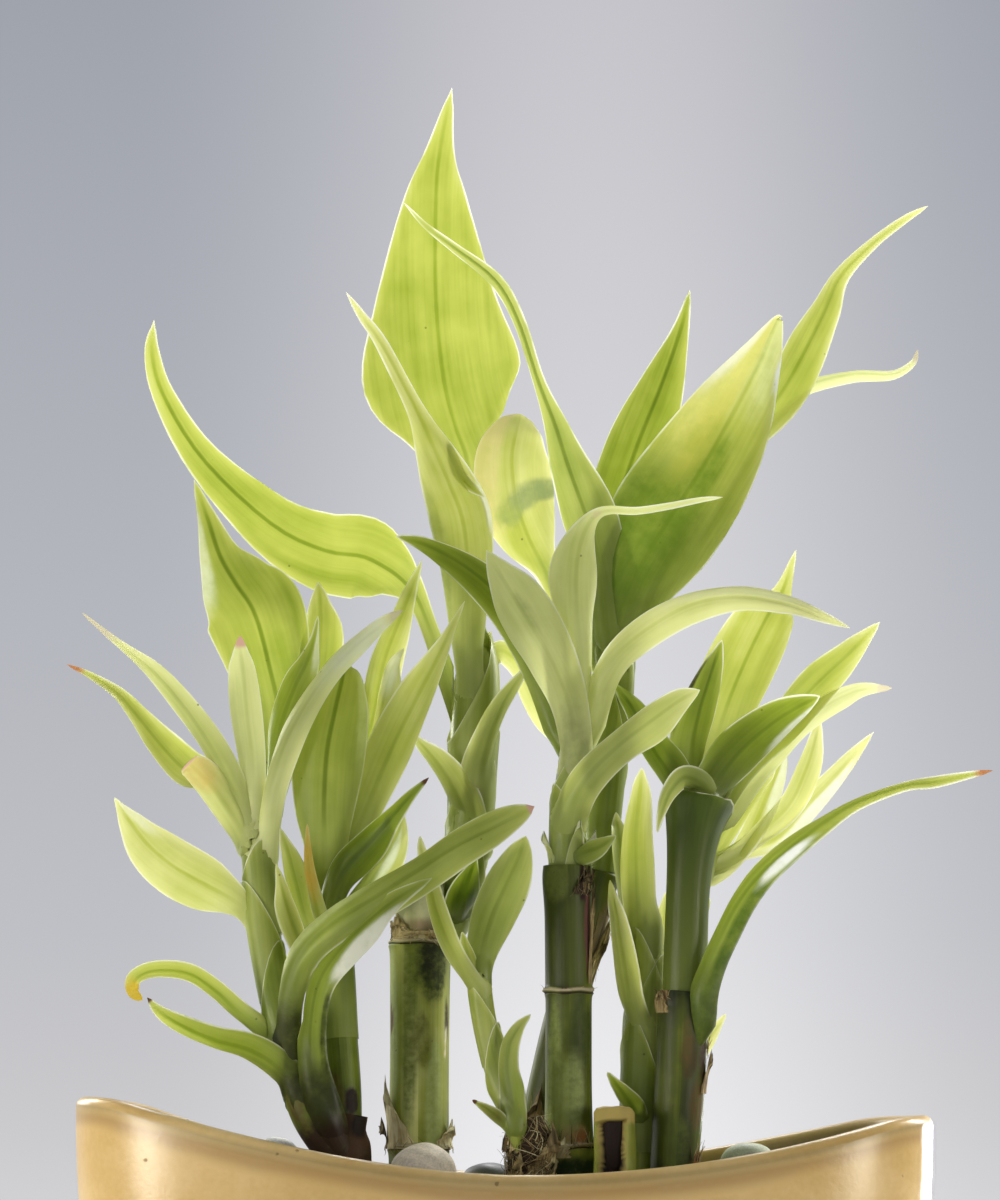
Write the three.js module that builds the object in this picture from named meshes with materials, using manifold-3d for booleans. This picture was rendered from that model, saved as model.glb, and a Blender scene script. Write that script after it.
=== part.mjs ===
// Lucky bamboo in an oblong ceramic pot: cut canes with leafy shoots, standing in river gravel.
// Millimetres, +Z up, origin at the centre of the pot's underside, front of the pot towards -Y.

import * as THREE from "three";
import { mergeVertices } from "three/addons/utils/BufferGeometryUtils.js";
import Module from "manifold-3d";

const wasm = await Module();
wasm.setup();

// Driving dimensions of the pot
const POT_HALF_LENGTH = 105;
const POT_HALF_DEPTH = 48;
const POT_CORNER_POWER = 3.2;
const RIM_DIP_HEIGHT = 75;
const RIM_RISE_LEFT = 21;
const RIM_RISE_RIGHT = 16;
const RIM_RISE_POWER = 1.8;
const RIM_LEVEL_FROM = 0.88;
const RIM_LEVEL_OVER = 0.06;
const RIM_TWIST = 2.6;
const LIP_SOFTENING = 0.7;
const FOOT_ROUNDING = 3;
const WALL = 4.6;
const LIP_RADIUS = 2.3;
const FLOOR_THICKNESS = 6;
const FOOT_SHRINK = 0.85;
const POT_SIDES = 48;

// Driving dimensions of the planting
const CLEARANCE = 0.3;
const BED_TOP = 68.5;
const BLADE_THICKNESS = 0.8;
const TIP_THICKNESS = 0.6;
const NARROW_BLADE = 11.5;
const TIP_WIDTH = 0.7;

// Growth is laid out as seen from the front: a place is given across and up on an upright sighting
// plane 900 mm from the eye, with its depth behind the pot's middle, so each leaf keeps its outline.
const EYE = new THREE.Vector3(-1, -900, 84);
const EYE_DISTANCE = 900;
const HORIZON_BELOW_MIDDLE = 134;
const SIGHT_TILT = Math.atan(HORIZON_BELOW_MIDDLE / EYE_DISTANCE);
const SIGHT_MIDDLE = 150;
const SIGHT_AXIS = new THREE.Vector3(0, Math.cos(SIGHT_TILT), Math.sin(SIGHT_TILT));
const SIGHT_UP = new THREE.Vector3(0, -Math.sin(SIGHT_TILT), Math.cos(SIGHT_TILT));
const SIGHT_RIGHT = new THREE.Vector3(1, 0, 0);

function sight(across, up, depth) {
  const ray = SIGHT_AXIS.clone().multiplyScalar(EYE_DISTANCE);
  ray.addScaledVector(SIGHT_RIGHT, across);
  ray.addScaledVector(SIGHT_UP, up - SIGHT_MIDDLE);
  return EYE.clone().addScaledVector(ray, (depth - EYE.y) / ray.y);
}

// A repeatable stream of numbers from 0 to 1
function dice(seed) {
  let state = seed;
  return () => {
    state = (state * 1664525 + 1013904223) % 4294967296;
    return state / 4294967296;
  };
}

// Solid from points and triangles, turned so that its faces point out
function solidOf(points, triangles) {
  let volume = 0;
  for (const [a, b, c] of triangles) {
    volume += points[a].dot(points[b].clone().cross(points[c]));
  }
  const vertProperties = new Float32Array(points.flatMap((p) => [p.x, p.y, p.z]));
  const outward = volume > 0 ? triangles : triangles.map(([a, b, c]) => [a, c, b]);
  const triVerts = new Uint32Array(outward.flat());
  return new wasm.Manifold(new wasm.Mesh({ numProp: 3, vertProperties, triVerts }));
}

function solidOfGeometry(geometry) {
  const bare = geometry.clone();
  bare.deleteAttribute("normal");
  bare.deleteAttribute("uv");
  const merged = mergeVertices(bare, 1e-4);
  const place = merged.getAttribute("position");
  const points = [];
  for (let i = 0; i < place.count; i += 1) {
    points.push(new THREE.Vector3().fromBufferAttribute(place, i));
  }
  const triangles = [];
  for (let i = 0; i < merged.index.count; i += 3) {
    triangles.push([0, 1, 2].map((k) => merged.index.getX(i + k)));
  }
  return solidOf(points, triangles);
}

// Rings of equal length joined side to side, with a fan on each end
function loft(rings) {
  const count = rings[0].length;
  const points = rings.flat();
  const triangles = [];
  for (let i = 0; i + 1 < rings.length; i += 1) {
    for (let k = 0; k < count; k += 1) {
      const next = (k + 1) % count;
      const low = i * count;
      const high = low + count;
      triangles.push([low + k, low + next, high + next], [low + k, high + next, high + k]);
    }
  }
  for (const [start, flip] of [[0, true], [(rings.length - 1) * count, false]]) {
    const middle = points.length;
    const sum = new THREE.Vector3();
    for (let k = 0; k < count; k += 1) {
      sum.add(points[start + k]);
    }
    points.push(sum.divideScalar(count));
    for (let k = 0; k < count; k += 1) {
      const next = (k + 1) % count;
      triangles.push(flip ? [middle, start + next, start + k] : [middle, start + k, start + next]);
    }
  }
  return solidOf(points, triangles);
}

// Smooth run through a list of rows of numbers, at 0 for the first row and 1 for the last
function along(rows, t) {
  const place = Math.min(Math.max(t, 0), 1) * (rows.length - 1);
  const i = Math.min(Math.floor(place), rows.length - 2);
  const u = place - i;
  const before = rows[Math.max(i - 1, 0)];
  const after = rows[Math.min(i + 2, rows.length - 1)];
  return rows[i].map((here, k) => {
    const next = rows[i + 1][k];
    const slopeHere = (next - before[k]) / (i > 0 ? 2 : 1);
    const slopeNext = (after[k] - here) / (i + 2 < rows.length ? 2 : 1);
    const cube = 2 * (here - next) + slopeHere + slopeNext;
    const square = 3 * (next - here) - 2 * slopeHere - slopeNext;
    return ((cube * u + square) * u + slopeHere) * u + here;
  });
}

function placeAt(rows, t) {
  const [across, up, depth] = along(rows, t);
  return sight(across, up, depth);
}

function directionAt(rows, t) {
  const step = 0.01;
  const ahead = placeAt(rows, Math.min(t + step, 1));
  return ahead.sub(placeAt(rows, Math.max(t - step, 0))).normalize();
}

// Round stem or cane along rows of [across, up, depth, radius]
function stem(rows, { sides = 8, segments = rows.length - 1, grow = 0 } = {}) {
  const rings = [];
  for (let i = 0; i <= segments; i += 1) {
    const t = i / segments;
    const direction = directionAt(rows, t);
    const past = { 0: -grow, [segments]: grow }[i] ?? 0;
    const middle = placeAt(rows, t).addScaledVector(direction, past);
    const side = new THREE.Vector3().crossVectors(new THREE.Vector3(0, 1, 0), direction).normalize();
    const front = new THREE.Vector3().crossVectors(side, direction);
    const radius = along(rows, t)[3] + grow;
    const ring = [];
    for (let k = 0; k < sides; k += 1) {
      const angle = (2 * Math.PI * (k + 0.5)) / sides;
      const point = middle.clone().addScaledVector(side, radius * Math.cos(angle));
      ring.push(point.addScaledVector(front, -radius * Math.sin(angle)));
    }
    rings.push(ring);
  }
  return loft(rings);
}

// Both faces of a blade share their diagonals, so a waved blade never crosses itself
function bladeSolid(rings, lanes) {
  const count = 2 * lanes;
  const points = rings.flat();
  const triangles = [];
  for (let i = 0; i + 1 < rings.length; i += 1) {
    for (let k = 0; k < count; k += 1) {
      const next = (k + 1) % count;
      const low = i * count;
      const high = low + count;
      if (k < lanes) {
        triangles.push([low + k, low + next, high + next], [low + k, high + next, high + k]);
      } else {
        triangles.push([low + k, low + next, high + k], [low + next, high + next, high + k]);
      }
    }
  }
  const end = (rings.length - 1) * count;
  for (let j = 0; j + 1 < lanes; j += 1) {
    const [top, topNext, under, underNext] = [j, j + 1, count - 1 - j, count - 2 - j];
    triangles.push([top, under, topNext], [topNext, under, underNext]);
    triangles.push([end + top, end + topNext, end + under], [end + topNext, end + underNext, end + under]);
  }
  return solidOf(points, triangles);
}

// Leaf along rows of [across, up, depth, seen width]. turn swings its face away from the eye and
// widens it to match, from the base to the tip in degrees. cup bends its edges back from the eye.
// spread carries the tip further out in depth than its rows say.
function blade(rows, { turn = [0, 0], cup = 0.25, spread = 0.8 } = {}) {
  const widest = Math.max(...rows.map((row) => row[3]));
  const lanes = widest > NARROW_BLADE ? 5 : 3;
  const segments = Math.max(rows.length - 1, 3);
  const rootDepth = rows[0][2];
  const reach = rows.map(([across, up, depth, width], i) => {
    const s = i / (rows.length - 1);
    return [across, up, rootDepth + (depth - rootDepth) * (1 + spread * s), width];
  });
  const rings = [];
  for (let i = 0; i <= segments; i += 1) {
    const t = i / segments;
    const middle = placeAt(reach, t);
    const direction = directionAt(reach, t);
    const view = middle.clone().sub(EYE).normalize();
    const flat = new THREE.Vector3().crossVectors(view, direction).normalize();
    const facing = new THREE.Vector3().crossVectors(flat, direction);
    const angle = THREE.MathUtils.degToRad(THREE.MathUtils.lerp(turn[0], turn[1], t));
    const side = flat.clone().multiplyScalar(Math.cos(angle)).addScaledVector(facing, Math.sin(angle));
    const out = new THREE.Vector3().crossVectors(side, direction);
    const half = Math.max(along(reach, t)[3], TIP_WIDTH) / 2 / Math.cos(angle);
    const bend = cup * (1.5 - t);
    const thickness = THREE.MathUtils.lerp(BLADE_THICKNESS, TIP_THICKNESS, t);
    const upper = [];
    const under = [];
    for (let j = 0; j < lanes; j += 1) {
      const q = (2 * j) / (lanes - 1) - 1;
      const middleLine = middle.clone().addScaledVector(side, half * q);
      middleLine.addScaledVector(out, -bend * half * q * q);
      const lean = -2 * bend * q;
      const normal = out.clone().addScaledVector(side, -lean).normalize();
      upper.push(middleLine.clone().addScaledVector(normal, thickness / 2));
      under.unshift(middleLine.clone().addScaledVector(normal, -thickness / 2));
    }
    rings.push([...upper, ...under]);
  }
  return bladeSolid(rings, lanes);
}

// Everything fused, with sealed hollows filled and loose scraps left out
function fuse(solids) {
  const whole = solids.reduce((sum, solid) => sum.add(solid));
  const bodies = whole.decompose().filter((body) => body.volume() > 0);
  bodies.sort((a, b) => b.volume() - a.volume());
  return bodies[0];
}

// The pot

// Height of the rim, which dips in the middle of both long sides and sweeps up to the ends.
// The left end stands higher, and a slight hand-made twist raises the front left and back right.
function rimHeight(x, y) {
  const u = Math.min(Math.abs(x) / POT_HALF_LENGTH, 1);
  const past = Math.max(u - RIM_LEVEL_FROM, 0);
  const level = Math.min(u, RIM_LEVEL_FROM) + RIM_LEVEL_OVER * (1 - Math.exp(-past / RIM_LEVEL_OVER));
  const rise = (x < 0 ? RIM_RISE_LEFT : RIM_RISE_RIGHT) * level ** RIM_RISE_POWER;
  const twist = RIM_TWIST * Math.sign(x) * u * (1 - u * u) * (y / POT_HALF_DEPTH);
  return RIM_DIP_HEIGHT + rise + twist;
}

// Rounded oblong plan, inset from the pot's outer face at the rim
function planPoint(angle, inset, shrink) {
  const power = 2 / POT_CORNER_POWER;
  const [c, s] = [Math.cos(angle), Math.sin(angle)];
  const x = Math.sign(c) * Math.abs(c) ** power * (POT_HALF_LENGTH * shrink - inset);
  const y = Math.sign(s) * Math.abs(s) ** power * (POT_HALF_DEPTH * shrink - inset);
  return [x, y];
}

// The sides swell gently from the foot to the rim
function swell(fraction) {
  return FOOT_SHRINK + (1 - FOOT_SHRINK) * Math.sin((Math.PI / 2) * Math.min(fraction, 1)) ** 0.8;
}

function potRing(inset, heightOf) {
  const ring = [];
  for (let k = 0; k < POT_SIDES; k += 1) {
    const angle = (2 * Math.PI * k) / POT_SIDES;
    const [atRimX, atRimY] = planPoint(angle, 0, 1);
    const rim = rimHeight(atRimX, atRimY);
    const z = heightOf(rim);
    const [x, y] = planPoint(angle, inset, swell(Math.max(z, 0) / rim));
    ring.push(new THREE.Vector3(x, y, z));
  }
  return ring;
}

function pot() {
  const rings = [
    potRing(FOOT_ROUNDING, () => 0),
    potRing(0.2 * FOOT_ROUNDING, () => 0.4 * FOOT_ROUNDING),
    potRing(0, () => 1.3 * FOOT_ROUNDING),
    ...[0.25, 0.5, 0.75].map((part) => potRing(0, (rim) => part * (rim - LIP_RADIUS))),
    potRing(0, (rim) => rim - LIP_RADIUS),
    potRing(LIP_SOFTENING, (rim) => rim - LIP_SOFTENING),
    potRing(LIP_RADIUS, (rim) => rim),
    potRing(WALL - LIP_SOFTENING, (rim) => rim - LIP_SOFTENING),
    potRing(WALL, (rim) => rim - LIP_RADIUS),
    ...[0.6, 0.3].map((part) => potRing(WALL, (rim) => part * rim)),
    potRing(WALL + 2, () => FLOOR_THICKNESS + 2),
    potRing(WALL + 6, () => FLOOR_THICKNESS),
  ];
  return loft(rings);
}

// Canes, as rows of [across, up, depth, radius] from the foot in the gravel to the cut top

const CANE_LEFT = [
  [-38, -22, -4, 5.4], [-38, -4, -4, 5.6], [-38, 12, -4, 5.8], [-38, 17, -4, 4.6], [-37.2, 21.5, -4, 4.2],
];
const CANE_B = [
  [-20.3, -22, 8, 7.4], [-20.3, -5, 8, 7.5], [-20.3, 10, 8, 7.6], [-20.3, 13, 8, 8.2], [-20.3, 16, 8, 7.7],
  [-20.2, 32, 8, 7.5], [-20.1, 50, 8, 7.6], [-20, 61, 8, 7.8], [-20, 64, 8, 8.1], [-20, 66, 8, 6.8],
  [-20, 74, 8, 6.2], [-19.8, 80, 8, 6.1],
];
const CANE_C = [
  [17.6, -22, 0, 6.2], [17.6, 0, 0, 6.4], [17.4, 10, 0, 6.5], [17.3, 13, 0, 6.9], [17.2, 16, 0, 6.1],
  [17.2, 32, 0, 5.7], [17.2, 49, 0, 5.7], [17.2, 52, 0, 6.3], [17.2, 54, 0, 5.8], [17, 70, 0, 5.8],
  [16.8, 80, 0, 6.2], [16.8, 83.5, 0, 6],
];
const CANE_D = [
  [7.2, -22, 14, 5], [8.2, 0, 14, 5], [10, 18, 14, 4.9], [13.5, 36, 14, 4.7], [17.5, 52, 14, 4.7],
  [21.5, 68, 14, 4.9], [25, 82, 14, 5.1],
];
const CANE_E = [
  [44, -22, 0, 7], [44.3, 0, 0, 7], [44.8, 14, 0, 6.7], [45.2, 30, 0, 6.4], [45.6, 44, 0, 6.4],
  [45.8, 49, 0, 7], [46, 52, 0, 6.4],
];
const STUMP = [[28.6, -22, -10, 5.2], [28.6, 5, -10, 5.2], [28.6, 23, -10, 5]];
const STUMP_BORE = 3.5;
const STUMP_HOLLOW_DEPTH = 16;
const STUMP_BREAK = 12;
const CUTTER_LENGTH = 40;
const CROWN = [
  [6.6, -22, -11, 2.6], [6.8, -4, -11, 3], [7, 6, -11, 4.2], [7.4, 12, -11, 5], [7.2, 17, -11, 4.4],
  [6.6, 20.5, -11, 3.2],
];

// A cut cane that has dried hollow, with its front broken away
function stump() {
  const outside = stem(STUMP, { sides: 14 });
  const top = sight(...STUMP[2].slice(0, 3));
  const above = top.z + CUTTER_LENGTH / 2;
  const hollow = new THREE.CylinderGeometry(STUMP_BORE, STUMP_BORE, CUTTER_LENGTH, 12).rotateX(Math.PI / 2);
  hollow.translate(top.x, top.y, above - STUMP_HOLLOW_DEPTH);
  const broken = new THREE.BoxGeometry(2 * STUMP_BORE, 2 * STUMP[2][3], CUTTER_LENGTH);
  broken.translate(top.x - 0.8, top.y - STUMP[2][3], above - STUMP_BREAK);
  return fuse([outside.subtract(solidOfGeometry(hollow)).subtract(solidOfGeometry(broken))]);
}

// Leafy shoots. Each has stems, as rows of [across, up, depth, radius], and leaves, as rows of
// [across, up, depth, seen width] from the clasping base to the tip.

const SHOOT_LEFT = {
  stems: [
    [[-38.5, 10, -4, 4], [-42, 21, -3, 4.6], [-46.5, 31, -2, 4.6], [-52, 44, 0, 4.5], [-57, 57, 1, 4.5],
      [-60, 72, 1, 4.4], [-61.5, 88, 1, 4], [-63, 101, 1, 3]],
    [[-38.5, 10, -5, 4.4], [-42, 20, -8, 5], [-46, 32, -10, 5], [-47.5, 46, -12, 4.4]],
    [[-38.5, 10, -3, 4], [-38.5, 26, 1, 4.4], [-39.5, 42, 4, 4.4], [-40.5, 58, 5, 4.4], [-42.5, 74, 4, 4],
      [-43.5, 86, 2, 3.2]],
  ],
  leaves: [
    // broad leaf behind the left stem
    [[[-60, 78, 3, 6], [-58, 98, 8, 9], [-55, 118, 10, 14], [-58, 135, 10, 22], [-61.5, 147, 9, 25.5],
      [-66, 154, 8, 19], [-70, 161, 8, 11], [-73, 170, 7, 5.5], [-76.5, 180, 7, 0.8]], { cup: -0.2 }],
    // pale upright leaf on the left stem
    [[[-62, 94, -1, 8], [-63.5, 110, -4, 10], [-64, 124, -5, 10], [-64.5, 134, -5, 8], [-65, 141, -5, 0.8]],
      { turn: [15, -20], cup: 0.4 }],
    // long leaf reaching left and to the front
    [[[-62, 88, -1, 6], [-67, 104, -6, 8], [-75, 117, -9, 9], [-83.5, 126, -12, 8.5], [-93, 136.5, -16, 6],
      [-105, 146, -20, 0.8]], { turn: [20, 45] }],
    // long leaf reaching left and to the back
    [[[-62.5, 84, 2, 7], [-70, 100, 7, 9], [-78, 109, 9, 10], [-85, 114.5, 11, 9], [-93, 121, 13, 6.5],
      [-101, 128, 15, 3], [-108, 134, 16, 0.8]], { turn: [-20, -40], cup: -0.25 }],
    // yellowed leaf with a cut tip
    [[[-61.5, 84, 0, 8], [-66, 95, -3, 9], [-72, 103, -5, 10], [-77, 108, -6, 6]], { turn: [0, 30] }],
    // low broad leaf to the left
    [[[-60, 68, 0, 6], [-64, 74, -3, 9], [-70, 80.5, -6, 16], [-77, 86.5, -8, 18], [-85, 93, -9, 13],
      [-91, 97.5, -9, 6], [-95.5, 99.5, -9, 0.8]], { turn: [10, -10] }],
    // ribbon leaf that crosses to the right
    [[[-60, 84, -2, 6], [-57, 102, -6, 7], [-52, 118, -8, 7], [-48, 127, -9, 6.5], [-42, 135, -10, 6],
      [-36, 141, -10, 5], [-29, 145, -10, 3], [-24.5, 147, -10, 0.7]], { turn: [30, 60] }],
    // small leaf with a folded tip
    [[[-60, 92, 0, 5], [-56, 108, -1, 6], [-54, 120, -1, 8], [-51, 130, -1, 8], [-48.5, 136, -2, 1.5]],
      { turn: [40, 20] }],
    // narrow leaf at the back of the middle stem
    [[[-43, 80, 4, 6], [-47, 100, 8, 7], [-47, 115, 10, 8], [-46, 130, 12, 11], [-45, 142, 12, 10],
      [-45, 150, 12, 5], [-45.5, 154.5, 12, 0.8]], { turn: [-20, -35], cup: -0.3 }],
    // big upright leaf of the middle stem
    [[[-43.5, 74, 1, 7], [-44, 88, -4, 12], [-44, 100, -6, 17], [-43, 113, -7, 19], [-41, 124, -7, 15],
      [-39.5, 131, -6, 8], [-39, 134, -5, 2]], { turn: [0, 15], cup: 0.3 }],
    // leaf leaning right beside it
    [[[-42.5, 76, 3, 6], [-36, 90, 0, 8], [-31, 103, -1, 10], [-26, 116, -2, 11.5], [-20, 127, -2, 10],
      [-15, 137, -2, 6], [-9, 149.5, -2, 0.8]], { turn: [-10, -30] }],
    // leaf behind that one
    [[[-43, 80, 4, 6], [-37, 104, 7, 8], [-32, 120, 8, 9], [-29, 135, 9, 8], [-24, 148, 9, 5],
      [-19.5, 160, 9, 0.8]], { turn: [-30, -50], cup: -0.25 }],
    // small bright leaf with a hooked tip
    [[[-42.5, 78, 2, 5], [-35, 96, 3, 5], [-32, 110, 4, 6], [-29.5, 124, 4, 6], [-27, 133, 4, 4],
      [-24, 138, 3, 0.8]], { turn: [45, 60] }],
    // dark leaf that twists right to a brown tip
    [[[-42.5, 70, 0, 7], [-38, 83, -6, 12], [-32, 90, -8, 10], [-27, 97, -9, 8], [-22, 102, -9, 4],
      [-18, 105.5, -9, 0.7]], { turn: [-15, 50] }],
    // dried orange sliver
    [[[-43, 66, 1, 5], [-46, 76, -6, 4.5], [-47.5, 86, -8, 3], [-48, 94.5, -8, 0.8]], { turn: [20, 30] }],
    // two short leaves in the fork
    [[[-44, 52, 1, 5], [-49, 64, -6, 5], [-53, 74, -8, 5], [-56, 84, -8, 0.8]], { turn: [-30, -45] }],
    [[[-43, 58, 3, 6], [-48, 69, -1, 6], [-51, 79, -4, 6.5], [-53, 87, -5, 4], [-55, 92.5, -5, 0.8]],
      { turn: [35, 45] }],
    // long front leaf that arches right, and the blade nested under it
    [[[-42, 15, -8, 9], [-49, 30, -11, 10], [-52.5, 44, -13, 10.5], [-50, 57, -16, 11], [-44, 67, -19, 11],
      [-35, 75, -22, 10], [-25, 81, -25, 9], [-15, 88, -27, 9], [-6, 94.5, -29, 8], [2, 98, -30, 5],
      [7.5, 99, -30, 1]], { turn: [20, 35], cup: 0.35, spread: 0.3 }],
    [[[-41, 18, -10, 8], [-45, 35, -13, 9], [-46.5, 50, -16, 9], [-43, 62, -19, 9], [-36, 71, -22, 8],
      [-26, 78, -25, 6], [-16, 85, -27, 5], [-7, 91, -29, 3], [-1, 95, -30, 0.8]],
    { turn: [40, 60], cup: 0.35, spread: 0.3 }],
    // two low leaves that curl round to the left
    [[[-53, 36, -3, 6], [-59, 44, -8, 6.5], [-68, 51.5, -11, 6], [-78, 56.5, -13, 5.5], [-86, 57.5, -14, 5],
      [-91, 55.5, -14, 4], [-91.5, 52, -13, 3], [-89, 50, -12, 1.5]], { turn: [25, 55], spread: 0.5 }],
    [[[-46, 26, -6, 7], [-53, 33, -8, 8], [-62, 38.5, -12, 7.5], [-72, 41, -15, 7], [-79, 44, -16, 6],
      [-85, 47, -16, 4], [-88.5, 51, -15, 0.8]], { turn: [15, 40], spread: 0.5 }],
  ],
};

const SHOOT_B = {
  stems: [
    [[-15, 62, 16, 4], [-10.5, 76, 15.5, 5.4], [-7, 94, 14, 5.6], [-6, 110, 13, 5.5], [-7, 125, 13, 5],
      [-8, 140, 13, 3.6]],
  ],
  leaves: [
    // tallest leaf, broad, at the back
    [[[-7, 128, 14, 6], [-7, 150, 17, 8], [-7, 168, 20, 10], [-8, 184, 23, 14], [-11, 193, 24, 27],
      [-14, 205, 25, 42], [-16, 225, 25, 32], [-16, 250, 24, 17], [-15, 262, 23, 8], [-12, 278, 22, 1]],
    { turn: [0, 12], cup: -0.15 }],
    // leaf in front of it, twisted to a thin tip on the left
    [[[-7, 118, 11, 7], [-7, 140, 7, 10], [-7.5, 155, 5, 13], [-9, 167, 4, 17], [-10, 177, 3, 19],
      [-14, 188, 3, 14], [-20.5, 197, 3, 7], [-26, 207, 2, 5.5], [-32, 217, 1, 3.5], [-38.5, 227, 0, 0.8]],
    { turn: [10, -45] }],
    // great leaf thrown out to the left
    [[[-7.5, 112, 14, 7], [-11, 127, 16, 7], [-16, 141, 17, 8], [-21, 151, 18, 11], [-26, 157.5, 19, 17],
      [-34, 160, 20, 22], [-44, 162, 20, 20.5], [-57, 169, 20, 15.5], [-74, 185, 19, 9.5],
        [-84, 201, 18, 6],
      [-87, 212, 17, 4], [-86.5, 220, 17, 0.8]], { turn: [0, 20], cup: -0.2, spread: 0.5 }],
    // folded leaf at the right of the stem
    [[[-7, 96, 11, 8], [-5, 109, 9, 8], [-3, 118, 8, 7], [1, 126, 8, 5], [5.5, 134, 8, 0.8]],
      { turn: [-30, -50], cup: 0.5 }],
    // sheathing leaf at the left of the stem
    [[[-7, 82, 12, 9], [-9, 95, 9, 11], [-13, 105, 8, 9], [-18, 112, 8, 6], [-23, 117, 8, 0.8]],
      { turn: [30, 40], cup: 0.5 }],
    // bright leaf hanging over at the back
    [[[-7, 124, 14, 5], [-4, 134, 17, 7], [1, 137, 19, 8], [6, 132, 20, 9], [10.5, 124, 21, 8],
      [14.5, 114, 21, 0.8]], { turn: [-20, -30], cup: -0.3 }],
    // short dark blade by the cane
    [[[-10, 68, 13, 6], [-9, 76, 7, 8], [-6, 86, 5, 0.8]], { turn: [-30, -40] }],
  ],
};

const SHOOT_C = {
  stems: [[[16.8, 81, 0, 5.2], [17.2, 95, 0, 5.2], [18.5, 107, 0, 4.8], [19, 118, 0, 4], [19, 130, 0, 3]]],
  leaves: [
    // broad pale leaf to the left
    [[[18, 100, -3, 9], [17, 118, -6, 10], [13, 132, -8, 13], [8, 143, -9, 15], [3, 152, -9, 12],
      [-1, 159, -8, 6], [-3.5, 162, -8, 0.8]], { turn: [0, 25], cup: 0.3 }],
    // dark thin leaf behind it
    [[[18.5, 108, 0, 7], [12, 130, 0, 9], [4, 146, -1, 10], [-3, 154, -2, 9], [-11, 160, -3, 7],
      [-19, 164, -4, 4], [-26, 166, -4, 0.8]], { turn: [-20, -50], cup: 0.3 }],
    // upright leaf whose tip is drawn out to the right
    [[[19, 106, -2, 8], [19.5, 125, -6, 9], [19, 142, -8, 11], [18, 155, -9, 12], [20, 166, -10, 9],
      [26, 171, -11, 5], [36, 172, -12, 4], [46, 174, -12, 3], [54.5, 175.5, -12, 0.7]],
    { turn: [-10, -55], cup: 0.35 }],
    // leaf arching right
    [[[19.5, 108, -1, 8], [23, 125, -6, 8], [28, 135, -9, 8], [37, 143, -12, 8.5], [48, 149, -15, 8],
      [60, 151, -18, 6], [72, 149, -20, 4.5], [80, 146, -21, 3], [87.5, 143, -22, 0.7]],
    { turn: [20, 50], cup: 0.3 }],
    // low leaf to the right
    [[[15.5, 88, -3, 9], [17, 97, -7, 10], [22, 106, -10, 9], [30, 114, -12, 8], [38, 120, -14, 9],
      [45, 125, -15, 6], [50, 127.5, -15, 0.8]], { turn: [10, 40], cup: 0.35 }],
    // short torn sheath
    [[[17, 86, -3, 6], [24, 88, -7, 5], [29, 91, -8, 0.8]], { turn: [20, 40], cup: 0.4 }],
  ],
};

const SHOOT_D = {
  stems: [[[24.9, 80, 14, 4.4], [26.5, 100, 14, 4.6], [28, 115, 14, 4.6], [30, 128, 13, 4.2],
    [31, 142, 12, 3]]],
  leaves: [
    // broad leaf to the right
    [[[28, 122, 12, 7], [28.5, 140, 10, 13], [33, 154, 8, 23], [41, 168, 7, 30], [50, 182, 7, 31],
      [58.5, 197, 8, 25], [65, 209.5, 9, 14], [69.5, 220, 10, 3]], { turn: [0, -15], cup: 0.2 }],
    // pointed leaf behind it
    [[[29, 128, 15, 7], [28, 145, 19, 9], [28, 160, 22, 14], [30, 175, 24, 18], [34, 188, 25, 18],
      [40, 203, 26, 12], [45, 217, 26, 5], [47.5, 227.5, 26, 0.8]], { turn: [-10, -35], cup: -0.25 }],
    // yellow leaf that arches over backwards
    [[[28, 124, 14, 5], [20, 142, 15, 5], [14, 151, 15, 5], [11, 158, 15, 7], [7, 166, 15, 15],
      [4, 175, 15, 20], [3, 185, 15, 19.5], [4, 192, 16, 14], [5, 196.5, 18, 5]], { turn: [0, 0],
        cup: 0.25 }],
    // long leaf twisted to a thread-like tip
    [[[29, 126, 11, 8], [25, 142, 9, 9], [22.5, 152, 8, 11], [19, 165, 7, 16], [15.5, 178, 6, 21],
      [12, 191, 6, 13], [8, 205, 6, 6.5], [3.5, 218, 6, 4], [-4, 228, 6, 3], [-13, 237, 6, 2.2],
      [-19, 244, 6, 1.5], [-24, 250, 5, 0.7]], { turn: [0, 60], cup: 0.2 }],
    // far right leaf with a twisted tip
    [[[30, 134, 13, 5], [35, 156, 16, 6], [46, 174, 19, 6], [58, 188, 21, 9], [69, 200, 22, 11],
      [75.5, 211, 22, 11.5], [81, 222, 22, 8], [85, 231, 22, 4.5], [93, 239, 21, 3], [101, 245, 21, 2.2],
      [107, 248.5, 21, 0.7]], { turn: [-10, -50], cup: -0.2 }],
    // thin leaf with a hooked tip
    [[[30.5, 136, 14, 5], [40, 160, 22, 5], [56, 184, 27, 5], [68, 198, 29, 4.5], [76, 203.5, 29, 4],
      [88, 206.5, 29, 3.5], [98, 206.5, 29, 2.5], [103, 209, 29, 1.8], [104.5, 212.5, 29, 0.7]],
    { turn: [-40, -60], cup: -0.3 }],
  ],
};

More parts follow.
